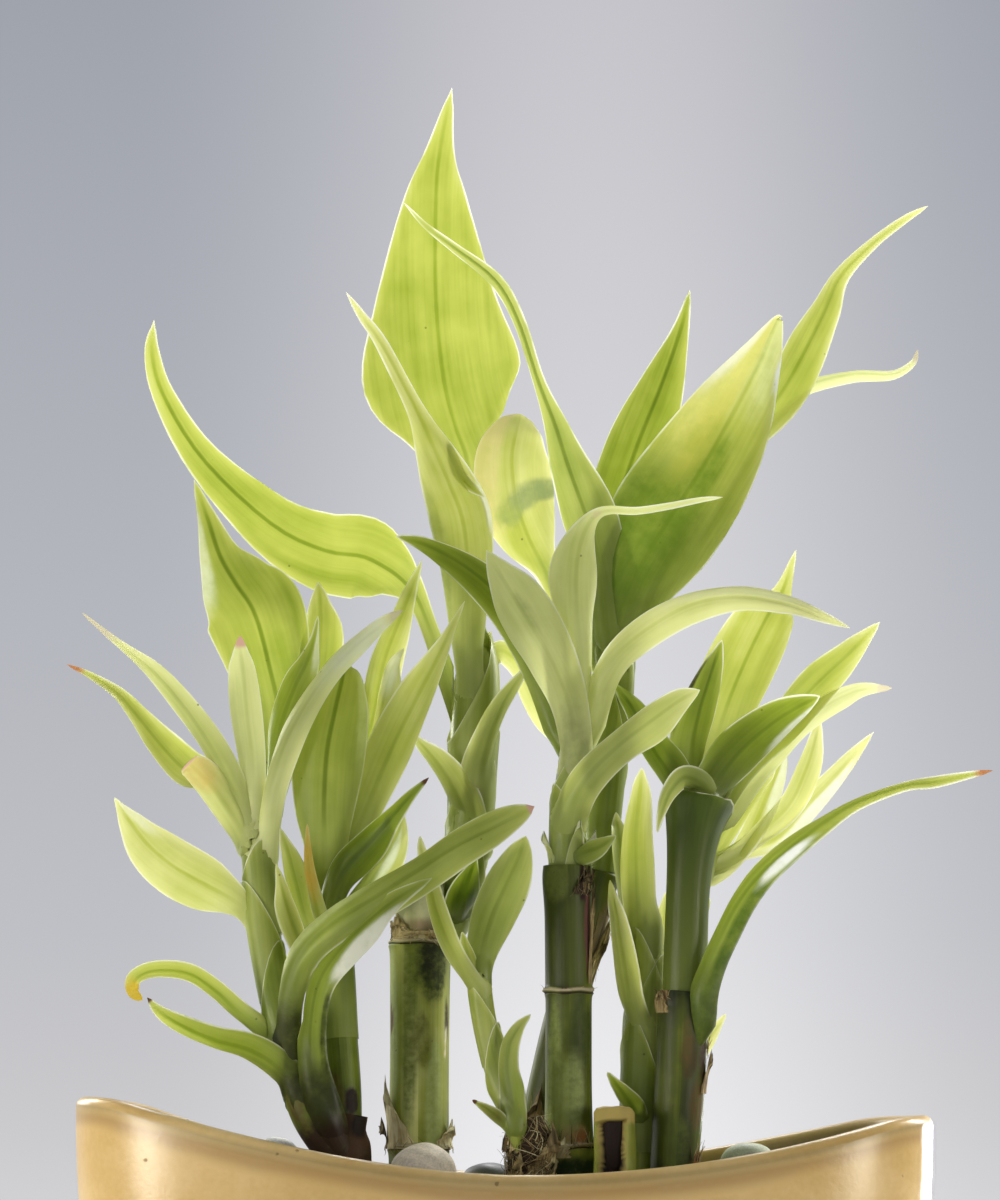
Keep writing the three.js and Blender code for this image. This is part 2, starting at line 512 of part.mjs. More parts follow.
const SAPLING = {
  stems: [[[6.4, 21, -11, 3.2], [3.5, 26, -11, 3.5], [0.5, 34, -11, 3.4], [-2.5, 44, -11, 3.1],
    [-4.5, 54, -11, 2.7], [-5.3, 60, -11, 2]]],
  leaves: [
    [[[-4.5, 50, -11, 5], [-5, 60, -12, 8], [-2, 71, -13, 11], [2, 80, -14, 11], [5, 87, -14, 6.5],
      [6.5, 91, -14, 0.8]], { turn: [0, 20], cup: 0.3 }],
    [[[-3.5, 47, -11, 5], [-8, 55, -14, 5], [-13, 64, -16, 5], [-16, 72, -17, 5], [-18, 80, -17, 4],
      [-19.5, 87, -17, 2.5], [-20, 91, -17, 0.7]], { turn: [30, 55] }],
    [[[-5, 54, -12, 3.5], [-8, 61, -14, 4], [-9.5, 67, -14, 0.7]], { turn: [-20, -30] }],
    [[[4, 24, -12, 4.5], [1.5, 31, -15, 5.5], [2, 38, -16, 5], [4.6, 43, -16, 3], [7.5, 46, -16, 0.7]],
      { turn: [30, 45] }],
    [[[5, 22, -12, 4], [0, 21, -15, 4], [-6, 24, -17, 0.7]], { turn: [10, 20] }],
  ],
};

const SHOOT_E = {
  stems: [[[46, 50, 0, 6], [46.4, 62, 0, 6], [47, 78, -0.5, 5.8], [48.2, 92, -1, 6], [49.6, 101, -1, 6.4]]],
  leaves: [
    // torn sheath folded over to the left
    [[[49, 90, -4, 10], [50, 100, -7, 12], [46, 103, -9, 9], [42, 98, -9, 5], [40, 92, -8, 0.8]],
      { turn: [10, 30], cup: 0.4 }],
    // long low leaf thrown out to the right
    [[[47, 58, -3, 8], [50.5, 60, -6, 10], [55, 68, -8, 11], [60.5, 80, -10, 10.5], [68, 89.5, -12, 9],
      [82, 97, -15, 6], [95, 101, -17, 4.5], [107, 103.5, -19, 4], [117, 106, -20, 2.5],
      [125, 107.5, -20, 0.7]], { turn: [10, 55], cup: 0.4 }],
    // leaf to the right in front
    [[[49, 92, -2, 9], [54, 104, -4, 11], [60, 112, -5, 12], [68, 119, -6, 10], [75, 123.5, -7, 6],
      [80, 126, -7, 0.8]], { turn: [-15, -35], cup: 0.3 }],
    // broad upright leaf behind
    [[[49, 94, 2, 9], [53, 111, 7, 14], [57, 124, 9, 17], [62, 136, 10, 18], [67, 146, 10, 14],
      [70.5, 152, 10, 5], [74, 162.5, 10, 0.7]], { turn: [10, 30], cup: -0.25 }],
    // dark spotted upright leaf
    [[[48.5, 94, -1, 8], [48, 111, -2, 9.5], [50, 122, -3, 9], [53, 132, -4, 6], [55.5, 140, -4, 0.8]],
      { turn: [-30, -45], cup: 0.3 }],
    // leaf rising to the right
    [[[50, 94, 1, 7], [59, 107, 3, 9], [70, 118, 4, 11], [80, 129, 5, 12.5], [88, 138, 5, 8],
      [95, 144.5, 5, 0.8]], { turn: [-20, -40], cup: -0.2 }],
    // pale leaf behind it
    [[[50, 92, 3, 6], [63, 108, 7, 7], [76, 120, 9, 6], [88, 127, 10, 4.5], [98, 128, 10, 0.8]],
      { turn: [-45, -60], cup: -0.25 }],
    // leaf crossing to the left
    [[[48, 92, -3, 8], [43, 105, -4, 9], [38, 113, -4.5, 8], [33, 123, -5, 5], [28, 129.5, -5, 0.8]],
      { turn: [30, 45], cup: 0.3 }],
  ],
};

const SHOOT_F = {
  stems: [[[35, -20, 9, 5.2], [35, 4, 9, 5.6], [35.2, 24, 9, 5.8], [36, 44, 9, 5.4], [37, 62, 8, 4.4],
    [38, 78, 7, 3]]],
  leaves: [
    [[[36, 52, 7, 8], [34.5, 74, 5, 9], [34, 90, 4, 8], [35, 102, 4, 5], [35.5, 108, 4, 0.8]],
      { turn: [10, 30], cup: 0.3 }],
    [[[36, 52, 10, 7], [32, 76, 10, 7], [29.8, 90, 9, 5], [29, 97, 9, 0.7]], { turn: [-40, -50],
      cup: -0.3 }],
    [[[35, 38, 6, 7], [31.5, 54, 3, 7.5], [29, 68, 2, 6.5], [27.5, 80, 2, 0.8]], { turn: [30, 40] }],
    [[[36.5, 40, 11, 7], [39, 56, 13, 8], [41, 68, 13, 6], [41.5, 77, 13, 0.8]], { turn: [-30, -40] }],
    [[[35, 22, 6, 6], [31, 26, 1, 5], [27, 31, 0, 0.8]], { turn: [20, 35], cup: 0.4 }],
  ],
};

const SHOOT_G = {
  stems: [[[45.5, -20, 19, 3.2], [45.5, 10, 19, 3.3], [46, 45, 19, 3.3], [47.5, 64, 18.5, 3.2],
    [50, 78, 18, 3], [52, 87, 17, 2.6]]],
  leaves: [
    [[[51, 82, 18, 5], [59, 87, 22, 6], [69, 88.5, 25, 7], [77, 96, 27, 8], [86, 107, 28, 6],
      [93, 116, 28, 0.8]], { turn: [-20, -35], cup: -0.3 }],
    [[[51.5, 84, 17, 5], [62, 90, 20, 6], [71.5, 97, 22, 8], [76, 108, 22, 8.5], [79, 116, 22, 5],
      [80, 121, 22, 0.8]], { turn: [-30, -45], cup: -0.25 }],
    [[[50.5, 80, 17, 5], [57, 85, 19, 6], [63, 92, 20, 9], [67, 102, 20, 9], [70, 109, 20, 4],
      [71, 112, 20, 0.8]], { turn: [15, 40] }],
    [[[50, 78, 17, 5], [54, 88, 16, 7], [60, 98, 16, 8], [66, 106, 16, 6], [69, 109, 16.5, 0.8]],
      { turn: [-40, -50] }],
    [[[46, 34, 18, 4], [51, 39, 15, 4.5], [56.5, 46.5, 14, 0.8]], { turn: [20, 30] }],
  ],
};

function shoot({ stems, leaves }, canes = []) {
  const grown = stems.map((rows) => stem(rows));
  grown.push(...leaves.map(([rows, options]) => blade(rows, options)));
  const cleared = canes.reduce((solid, rows) => solid.subtract(cane(rows, CLEARANCE + 0.1)), fuse(grown));
  return fuse([cleared]);
}

function cane(rows, grow = 0) {
  return stem(rows, { sides: 12, grow });
}

// Gravel

// Loose stones on top: [across the pot, depth, centre height, half length, half depth, half height]
const LOOSE_STONES = {
  stone_grey_arched: [-20, -12, 73.6, 8.2, 5.6, 7.6],
  stone_white: [-56, -2, 76.2, 5.4, 4.6, 4.4],
  stone_pale_green: [61, 12, 76, 7.2, 5.6, 4.2],
  stone_brown: [76, -16, 73.6, 7.4, 6, 4.2],
  stone_cream: [-76, 14, 74, 7, 5.6, 4.4],
  stone_dark_grey: [-4, 30, 73.4, 6.8, 5.4, 4],
  stone_rose: [-62, -24, 73.2, 6.4, 5.4, 4],
  stone_sandy: [56, -27, 73.2, 6.8, 5, 4],
};

const STONE_DENT = 0.065;

// Water-worn stone: a round body whose sides swell and dent a little
function stoneSolid([x, y, z, ...halves], seed, { grow = 0, sunk = false } = {}) {
  const random = dice(seed);
  const [swellA, swellB, phase, spin] = [random(), random(), random() * 6.28, (random() - 0.5) * 0.8];
  const geometry = sunk ? new THREE.SphereGeometry(1, 7, 4) : new THREE.IcosahedronGeometry(1, 1);
  geometry.rotateX(Math.PI / 2);
  const place = geometry.getAttribute("position");
  const point = new THREE.Vector3();
  for (let i = 0; i < place.count; i += 1) {
    point.fromBufferAttribute(place, i).normalize();
    const dentA = STONE_DENT * swellA * Math.sin(3 * point.x + phase);
    const dentB = STONE_DENT * swellB * Math.sin(4 * point.y + 2 * phase);
    point.multiply(new THREE.Vector3(...halves)).multiplyScalar(1 - dentA - dentB);
    point.addScaledVector(point.clone().normalize(), grow);
    place.setXYZ(i, point.x, point.y, point.z);
  }
  geometry.rotateZ(spin).translate(x, y, z);
  return solidOfGeometry(geometry);
}

const STONE_SEED = 40;

function stoneNodes() {
  return Object.entries(LOOSE_STONES).map(([name, sizes], i) => [name, sizes, STONE_SEED + i]);
}

// The bed fills the pot, its top covered with half-sunk stones laid by a jittered grid
const BED_STONE_PITCH = 22;
const BED_ROW_PITCH = 0.86 * BED_STONE_PITCH;
const BED_STONE_JITTER = 4;
const BED_STONE_MARGIN = 14;
const BED_STONE_SEED = 7;
const STONE_HEADROOM = 9;

function bedStones() {
  const random = dice(BED_STONE_SEED);
  const stones = [];
  const rows = Math.floor((2 * POT_HALF_DEPTH) / BED_ROW_PITCH);
  const columns = Math.floor((2 * POT_HALF_LENGTH) / BED_STONE_PITCH);
  for (let row = 0; row <= rows; row += 1) {
    for (let column = 0; column <= columns; column += 1) {
      const [a, b, c, d] = [random(), random(), random(), random()];
      const shift = row % 2 ? 0.5 : 0;
      const x = (column + shift - columns / 2) * BED_STONE_PITCH + (a - 0.5) * BED_STONE_JITTER;
      const y = (row - rows / 2) * BED_ROW_PITCH + (b - 0.5) * BED_STONE_JITTER;
      const reachX = Math.abs(x) / (POT_HALF_LENGTH - BED_STONE_MARGIN);
      const reachY = Math.abs(y) / (POT_HALF_DEPTH - BED_STONE_MARGIN);
      if (reachX ** POT_CORNER_POWER + reachY ** POT_CORNER_POWER < 1) {
        const halves = [12 + 2 * c, 10.2 + 2 * d, 5.4 + 1.2 * c];
        stones.push([[x, y, BED_TOP - 1.6 + 1.2 * d, ...halves], stones.length + 100]);
      }
    }
  }
  return stones;
}

// The space inside the pot up to a level, clear of the wall and floor
function potSpace(top) {
  const wallGap = WALL + CLEARANCE + 0.2;
  return loft([
    potRing(wallGap + 7, () => FLOOR_THICKNESS + CLEARANCE + 0.1),
    potRing(wallGap + 2.4, () => FLOOR_THICKNESS + 3),
    ...[0.3, 0.6].map((part) => potRing(wallGap + 1.2, () => part * BED_TOP)),
    potRing(wallGap + 0.5, () => top),
  ]);
}

function gravelBed(standing) {
  const stones = bedStones().map(([sizes, seed]) => stoneSolid(sizes, seed, { sunk: true }));
  const heap = fuse([potSpace(BED_TOP), fuse(stones).intersect(potSpace(BED_TOP + STONE_HEADROOM))]);
  const loose = stoneNodes().map(([, sizes, seed]) => stoneSolid(sizes, seed, { grow: CLEARANCE + 0.1 }));
  const holes = standing.map((rows) => hole(rows));
  return fuse([[...loose, ...holes].reduce((solid, cut) => solid.subtract(cut), heap)]);
}

// Plain hole in the gravel round the foot of a cane or stem
const GROUND_UP = 24;
const HOLE_SLACK = 0.5;
const HOLE_HEIGHT = 60;

function hole(rows) {
  const ground = rows.filter((row) => row[1] < GROUND_UP);
  const reach = ground.map(([across, up, depth]) => sight(across, up, depth));
  const [foot, head] = [reach[0], reach[reach.length - 1]];
  const lean = Math.hypot(head.x - foot.x, head.y - foot.y);
  const radius = Math.max(...ground.map((row) => row[3])) + CLEARANCE + HOLE_SLACK + lean / 2;
  const plug = new THREE.CylinderGeometry(radius, radius, HOLE_HEIGHT, 14).rotateX(Math.PI / 2);
  const middle = foot.clone().add(head).multiplyScalar(0.5);
  plug.translate(middle.x, middle.y, foot.z - CLEARANCE + HOLE_HEIGHT / 2);
  return solidOfGeometry(plug);
}

// The assembled object

function nodeMesh(name, solid, colour, roughness) {
  const { vertProperties, triVerts } = solid.getMesh();
  const geometry = new THREE.BufferGeometry();
  geometry.setAttribute("position", new THREE.BufferAttribute(new Float32Array(vertProperties), 3));
  geometry.setIndex(new THREE.BufferAttribute(new Uint32Array(triVerts), 1));
  geometry.computeVertexNormals();
  const material = new THREE.MeshStandardMaterial({ color: colour, roughness, metalness: 0 });
  const mesh = new THREE.Mesh(geometry, material);
  mesh.name = name;
  return mesh;
}

const CERAMIC = "#c9a66b";
const GRAVEL = "#8f8d86";
const CANE_GREEN = "#6f7f3c";
const CANE_BROWN = "#6b5137";
const LEAF_GREEN = "#a3b84a";
const STONE_COLOURS = [
  "#a9a9ad", "#e6e4dd", "#b9bfa6", "#8a7560", "#d8cdb4", "#6e6f73", "#b9988c", "#c7b48f",
];

const GREEN_CANES = { cane_b: CANE_B, cane_c: CANE_C, cane_d: CANE_D, cane_e: CANE_E };
const BROWN_CANES = { cane_left: CANE_LEFT, root_crown: CROWN };

// Each shoot with the canes that it grows from and is cut clear of
const SHOOTS = {
  shoot_left: [SHOOT_LEFT, [CANE_LEFT]],
  shoot_b: [SHOOT_B, [CANE_B]],
  shoot_c: [SHOOT_C, [CANE_C]],
  shoot_d: [SHOOT_D, [CANE_D]],
  sapling: [SAPLING, [CROWN]],
  shoot_e: [SHOOT_E, [CANE_E]],
  shoot_f: [SHOOT_F, []],
  shoot_g: [SHOOT_G, []],
};
const STANDING = [
  ...Object.values(GREEN_CANES),
  ...Object.values(BROWN_CANES),
  STUMP,
  SHOOT_F.stems[0],
  SHOOT_G.stems[0],
];

const bamboo = new THREE.Group();
bamboo.add(nodeMesh("pot", pot(), CERAMIC, 0.35));
bamboo.add(nodeMesh("gravel_bed", gravelBed(STANDING), GRAVEL, 0.8));
for (const [i, [name, sizes, seed]] of stoneNodes().entries()) {
  bamboo.add(nodeMesh(name, stoneSolid(sizes, seed), STONE_COLOURS[i], 0.6));
}
for (const [name, rows] of Object.entries(GREEN_CANES)) {
  bamboo.add(nodeMesh(name, cane(rows), CANE_GREEN, 0.5));
}
for (const [name, rows] of Object.entries(BROWN_CANES)) {
  bamboo.add(nodeMesh(name, cane(rows), CANE_BROWN, 0.8));
}
bamboo.add(nodeMesh("cut_stump", stump(), CANE_GREEN, 0.7));
for (const [name, [growth, canes]] of Object.entries(SHOOTS)) {
  bamboo.add(nodeMesh(name, shoot(growth, canes), LEAF_GREEN, 0.45));
}

export default bamboo;
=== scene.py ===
"""Lucky bamboo in an oblong ceramic pot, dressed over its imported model.

Tables are in millimetres and meshes in metres. +Z is up and the front of the pot faces -Y.
"""

from __future__ import annotations

import logging
import math
import random
from dataclasses import dataclass, field
from enum import Enum
from itertools import islice
from typing import Iterator, Sequence

import bmesh
import bpy
import numpy as np
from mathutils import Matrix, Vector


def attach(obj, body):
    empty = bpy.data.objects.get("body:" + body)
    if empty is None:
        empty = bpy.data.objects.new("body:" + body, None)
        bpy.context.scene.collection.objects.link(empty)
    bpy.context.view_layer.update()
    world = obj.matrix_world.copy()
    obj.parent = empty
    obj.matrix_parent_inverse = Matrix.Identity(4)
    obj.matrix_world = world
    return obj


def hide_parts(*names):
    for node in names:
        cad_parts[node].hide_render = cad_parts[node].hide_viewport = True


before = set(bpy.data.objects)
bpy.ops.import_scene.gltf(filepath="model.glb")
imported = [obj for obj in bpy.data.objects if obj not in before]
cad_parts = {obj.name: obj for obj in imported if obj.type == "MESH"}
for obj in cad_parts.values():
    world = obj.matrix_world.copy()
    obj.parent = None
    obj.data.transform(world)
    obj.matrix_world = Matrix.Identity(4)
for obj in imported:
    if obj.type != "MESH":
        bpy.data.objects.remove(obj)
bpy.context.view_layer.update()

log = logging.getLogger("bamboo")
Array = np.ndarray
Row = tuple[float, ...]
Pair = tuple[float, float]
Colours = tuple[str, ...]
Material = bpy.types.Material
Socket = bpy.types.NodeSocket
MM = 0.001
FULL_TURN = 2 * math.pi
NO_EDGE = 9.0  # mm in from the edge, painted where there is none

# Growth is laid out as seen from the front, as in the part: a place is given across and up on an
# upright sighting plane 900 mm from the eye, with its depth behind the pot's middle.
EYE = np.array([-1.0, -900.0, 84.0])
EYE_DISTANCE = 900.0
HORIZON_BELOW_MIDDLE = 134.0
SIGHT_TILT = math.atan(HORIZON_BELOW_MIDDLE / EYE_DISTANCE)
SIGHT_MIDDLE = 150.0
SIGHT_AXIS = np.array([0.0, math.cos(SIGHT_TILT), math.sin(SIGHT_TILT)])
SIGHT_UP = np.array([0.0, -math.sin(SIGHT_TILT), math.cos(SIGHT_TILT)])
SIGHT_SIDE = np.array([1.0, 0.0, 0.0])
PHOTO_HEIGHT = 300.0  # mm of the sighting plane that the photograph spans


def sight(places: Array) -> Array:
    """The object's points for rows that start with across, up and depth, all in millimetres."""
    rays = SIGHT_AXIS * EYE_DISTANCE + places[:, :1] * SIGHT_SIDE + (places[:, 1:2] - SIGHT_MIDDLE) * SIGHT_UP
    return EYE + rays * ((places[:, 2:3] - EYE[1]) / rays[:, 1:2])


def smooth_run(rows: Sequence[Row], t: Array, steady: bool = False) -> Array:
    """A smooth run through a list of rows.

    Args:
        rows: rows of numbers, all of one length.
        t: places along the list, 0 at its first row and 1 at its last.
        steady: keeps it from swinging past a row where rows crowd.

    Returns:
        One row for each place.
    """
    table = np.asarray(rows, float)
    last = len(table) - 1
    place = np.clip(t, 0, 1) * last
    i = np.minimum(place.astype(int), last - 1)
    u = (place - i)[:, None]
    here, after = table[i], table[i + 1]
    before, beyond = table[np.maximum(i - 1, 0)], table[np.minimum(i + 2, last)]
    inner, ahead = (i > 0)[:, None], (i + 2 <= last)[:, None]
    slope_here = (after - before) / np.where(inner, 2, 1)
    slope_next = (beyond - here) / np.where(ahead, 2, 1)
    if steady:
        step = 3 * np.abs(after - here)
        most = np.where(inner, np.minimum(step, 3 * np.abs(here - before)), step)
        slope_here = np.clip(slope_here, -most, most)
        most = np.where(ahead, np.minimum(step, 3 * np.abs(beyond - after)), step)
        slope_next = np.clip(slope_next, -most, most)
    cube = 2 * (here - after) + slope_here + slope_next
    square = 3 * (after - here) - 2 * slope_here - slope_next
    return ((cube * u + square) * u + slope_here) * u + here


def unit(vectors: Array) -> Array:
    """Vectors of length 1 in the same directions."""
    return vectors / np.maximum(np.linalg.norm(vectors, axis=-1, keepdims=True), 1e-9)


def ease(low: float, high: float, value: Array) -> Array:
    """A soft step from 0 at low to 1 at high."""
    t = np.clip((value - low) / (high - low), 0, 1)
    return t * t * (3 - 2 * t)


def stack(*channels: Array | float) -> Array:
    """One list of values for each point, from the values of each channel."""
    return np.stack(np.broadcast_arrays(*channels), -1)


def turned(middle: Array, right: Array, front: Array, size: Array, turn: Array) -> Array:
    """Points at a distance from a middle, turned from the front to the right."""
    return middle + right * (size * np.sin(turn))[..., None] + front * (size * np.cos(turn))[..., None]


def heading(rows: Sequence[Row], t: Array, steady: bool = False) -> Array:
    """The direction that a run of rows takes at each place along it."""
    ahead, behind = (sight(smooth_run(rows, t + step, steady)) for step in (0.01, -0.01))
    return unit(ahead - behind)


def dice(seed: int) -> Iterator[float]:
    """A repeatable stream of numbers from 0 to 1, the same as the part's own.

    Args:
        seed: where the stream starts.

    Yields:
        The next number.
    """
    while True:
        seed = (seed * 1664525 + 1013904223) % 2 ** 32
        yield seed / 2 ** 32


def linear(colour: str, last: float = 1.0) -> Row:
    """An sRGB hex colour as linear red, green and blue, with alpha or another value last."""
    parts = [int(colour[i:i + 2], 16) / 255 for i in (1, 3, 5)]
    return (*[c / 12.92 if c <= 0.04045 else ((c + 0.055) / 1.055) ** 2.4 for c in parts], last)


def lay(stain: Array, share: Array, colour: str) -> None:
    """Lays a colour over the stains and painted light.

    Args:
        stain: colour and strength for each point, which it changes.
        share: how much of the colour each point takes.
        colour: the colour on top.
    """
    share = share[..., None]
    strength = np.maximum(stain[..., 3:], share)
    mixed = np.where(share > 0.01, share / np.maximum(strength, 1e-6), 0)
    stain[..., :3] = stain[..., :3] * (1 - mixed) + np.array(linear(colour)[:3]) * mixed
    stain[..., 3:] = strength


def placed(name: str, data: bpy.types.ID) -> bpy.types.Object:
    """A new object in the scene."""
    made = bpy.data.objects.new(name, data)
    bpy.context.scene.collection.objects.link(made)
    return made


class Sheet:
    """The node tree of one material, or of the world."""

    def __init__(self, owner: Material | bpy.types.World) -> None:
        """Starts an empty tree.

        Args:
            owner: the material or world that the tree is for.
        """
        owner.use_nodes = True
        self.owner = owner
        self.tree = owner.node_tree
        self.tree.nodes.clear()

    def add(self, kind: str, inputs: dict | Sequence = (), out: int | str = 0,
            stops: tuple[Sequence[float], Colours] = ((), ()), **settings: object) -> Socket | None:
        """Adds a node with its settings and links.

        Args:
            kind: the node's type without its usual first word, with its operation after a space.
            inputs: a value, or an output to link, for each input in order, or by name or number.
            out: the output that is wanted.
            stops: the places and colours of a colour ramp.
            settings: the node's other settings.

        Returns:
            The output, if the node has one.
        """
        kind, _, operation = kind.partition(" ")
        made = self.tree.nodes.new("ShaderNode" + kind)
        if operation:
            made.operation = operation
        for key, value in settings.items():
            setattr(made, key, value)
        for key, value in inputs.items() if isinstance(inputs, dict) else enumerate(inputs):
            if isinstance(value, bpy.types.NodeSocket):
                self.tree.links.new(value, made.inputs[key])
            else:
                made.inputs[key].default_value = value
        for i, (place, colour) in enumerate(zip(*stops)):
            stop = made.color_ramp.elements[i] if i < 2 else made.color_ramp.elements.new(place)
            stop.position = place
            stop.color = linear(colour)
        return made.outputs[out] if made.outputs else None

    def swing(self, value: Socket | float, *swings: tuple[Socket, float]) -> Socket:
        """A value moved up and down by signals that swing about a half.

        Args:
            value: where it starts.
            swings: the signals, each with how far it moves the value.

        Returns:
            The moved value.
        """
        for signal, amount in swings:
            off = self.add("Math SUBTRACT", (signal, 0.5))
            value = self.add("Math MULTIPLY_ADD", (off, amount, value))
        return value

    def coat(self, colour: Socket, *coats: tuple[Socket, Socket | Row]) -> Socket:
        """A colour with others laid over it.

        Args:
            colour: the lowest one.
            coats: how much of each one covers what is under it, and its colour.

        Returns:
            The colour on top.
        """
        for share, over in coats:
            colour = self.add("Mix", {0: share, 6: colour, 7: over}, 2, data_type="RGBA")
        return colour

    def streaks(self, uv: Socket, pitch: float, stretch: float, detail: float) -> Socket:
        """Noise in streaks along the growth, a pitch of mm apart and stretch times longer than wide."""
        place = self.add("VectorMath MULTIPLY", (uv, (1 / pitch, 1 / (pitch * stretch), 1)))
        return self.add("TexNoise", {"Vector": place, "Scale": 1.0, "Detail": detail})

    def finish(self, shader: Socket) -> Material | bpy.types.World:
        """Links the shader to the output, and returns what the tree is for."""
        self.add(f"Output{self.owner.bl_rna.identifier}", (shader,))
        return self.owner


SOFT = {"interpolation_type": "SMOOTHSTEP"}  # makes a Map Range node a soft step
RAMP = (0.0, 0.35, 0.65, 1.0)  # where the four colours of a living or dried finish lie


# Finishes


@dataclass(frozen=True)
class LeafTissue:
    """Fresh lucky bamboo leaf: a thin waxy blade, grown. Light from behind turns it lime, parallel
    veins and the midrib show darker, and a painted highlight brightens the thin margin, with paler painted
    light just inside it."""

    name: str = "fresh_waxy_leaf"
    vein_pitch: float = 0.8  # mm between the veins that can be seen
    fold_pitch: float = 3.6  # mm between the soft lengthwise folds
    cloud: float = 16.0  # mm across a patch of deeper or paler green
    grain: float = 3.8462  # mm, of a stain's ragged edge
    freckle_cell: float = 5.0  # mm between the places where a freckle may be
    margin_width: float = 0.6  # mm of painted highlight along the thin edge
    thin_border: float = 3.0  # mm of paler border inside it: thinner tissue, brightened further as painted light
    midrib_half: float = 0.8  # mm
    midrib_depth: float = -0.36
    let_through: float = 0.56  # share of light that a blade passes on
    sheath_lets_through: float = 0.16
    shown: Colours = ("#41540F", "#778A2B", "#A8B550", "#D3DA88")
    lit: Colours = ("#5F7615", "#97A833", "#C2C95A", "#EDED9C")
    sage: Colours = ("#A6B158", "#F0F3B4")
    # colour of the painted highlight along the leaf edges
    bright_edge: str = "#F8F9E0"
    freckle: str = "#4B4A1E"

    def material(self) -> Material:
        """The leaf's nodes."""
        s = Sheet(bpy.data.materials.new(self.name))
        growth = s.add("Attribute", attribute_name="growth")
        stain = s.add("Attribute", attribute_name="stain")
        inward, mark_strength = growth.node.outputs["Alpha"], stain.node.outputs["Alpha"]
        tone, sage, sheath = s.add("SeparateColor", (growth,)).node.outputs
        uv = s.add("UVMap", uv_map="UVMap")
        cell = s.add("TexCoord", out="Object")
        veins = s.streaks(uv, self.vein_pitch, 34, 1)
        folds = s.streaks(uv, self.fold_pitch, 12, 1)
        mottle = s.add("TexNoise", {"Vector": cell, "Scale": 1 / (self.cloud * MM), "Detail": 3})
        value = s.swing(tone, (veins, 0.13), (folds, 0.3), (mottle, 0.5))
        off_middle = s.add("Math ABSOLUTE", (s.add("SeparateXYZ", (uv,)),))
        rib = s.add("MapRange", (off_middle, 0.15, self.midrib_half, 1, 0), **SOFT)
        rib = s.add("Math MULTIPLY", (rib, s.add("Attribute", out="Fac", attribute_name="midrib")))
        value = s.add("Math MULTIPLY_ADD", (rib, self.midrib_depth, value))
        # painted light, in part: the border inside the margin is made paler
        thin = s.add("MapRange", (s.swing(inward, (mottle, 3)), 0.2, self.thin_border, 1, 0), **SOFT)
        value = s.add("Math MULTIPLY_ADD", (thin, 0.16, value))
        grey = s.add("ValToRGB", (value,), stops=((0.1, 0.9), self.sage))
        # painted highlight: the bright edge stands for light that the thin margin catches
        edge = s.add("MapRange", (s.swing(inward, (folds, 0.8)), 0.08, self.margin_width, 1, 0), **SOFT)
        edge = s.add("Math MULTIPLY", (edge, s.add("Attribute", out="Fac", attribute_name="margin")))
        edge = s.add("Math MULTIPLY", (edge, s.add("MapRange", (mottle, 0.3, 0.52), **SOFT)))
        grain = s.add("TexNoise", {"Vector": cell, "Scale": 1 / (self.grain * MM), "Detail": 5,
                                   "Roughness": 0.6})
        spot = s.add("Math MULTIPLY", (mark_strength, s.swing(1.0, (grain, 1.1))))
        spot = s.add("MapRange", (spot, 0.05, 0.95), **SOFT)
        dots = s.add("TexVoronoi", {"Vector": cell, "Scale": 1 / (self.freckle_cell * MM)})
        draw = s.add("SeparateColor", (dots.node.outputs["Color"],))
        rare = s.add("MapRange", (draw, 0.8, 0.82, 0, 0.6), **SOFT)
        freckle = s.add("Math MULTIPLY", (s.add("MapRange", (dots, 0.03, 0.085, 1, 0), **SOFT), rare))
        pale = s.add("Math MULTIPLY", (sage, 0.75))
        faces = []
        for greens in (self.shown, self.lit):
            green = s.add("ValToRGB", (value,), stops=(RAMP, greens))
            faces.append(s.coat(green, (pale, grey), (edge, linear(self.bright_edge)),
                                (freckle, linear(self.freckle)), (spot, stain)))
        relief = s.add("Math MULTIPLY_ADD", (veins, 0.4, s.add("Math MULTIPLY", (rib, -0.6))))
        relief = s.add("Math MULTIPLY_ADD", (folds, 1.2, relief))
        bump = s.add("Bump", {"Height": relief, "Strength": 0.35, "Distance": 0.0005})
        gloss = s.add("MapRange", (mottle, 0.3, 0.7, 0.3, 0.46))
        skin = s.add("BsdfPrincipled", {"Base Color": faces[0], "Roughness": gloss, "Normal": bump,
                                        "IOR": 1.45, "Specular IOR Level": 0.4})
        through = s.add("BsdfTranslucent", {"Color": faces[1], "Normal": bump})
        share = s.add("MapRange", (sheath, 0.0, 1.0, self.let_through, self.sheath_lets_through))
        return s.finish(s.add("MixShader", (share, skin, through)))


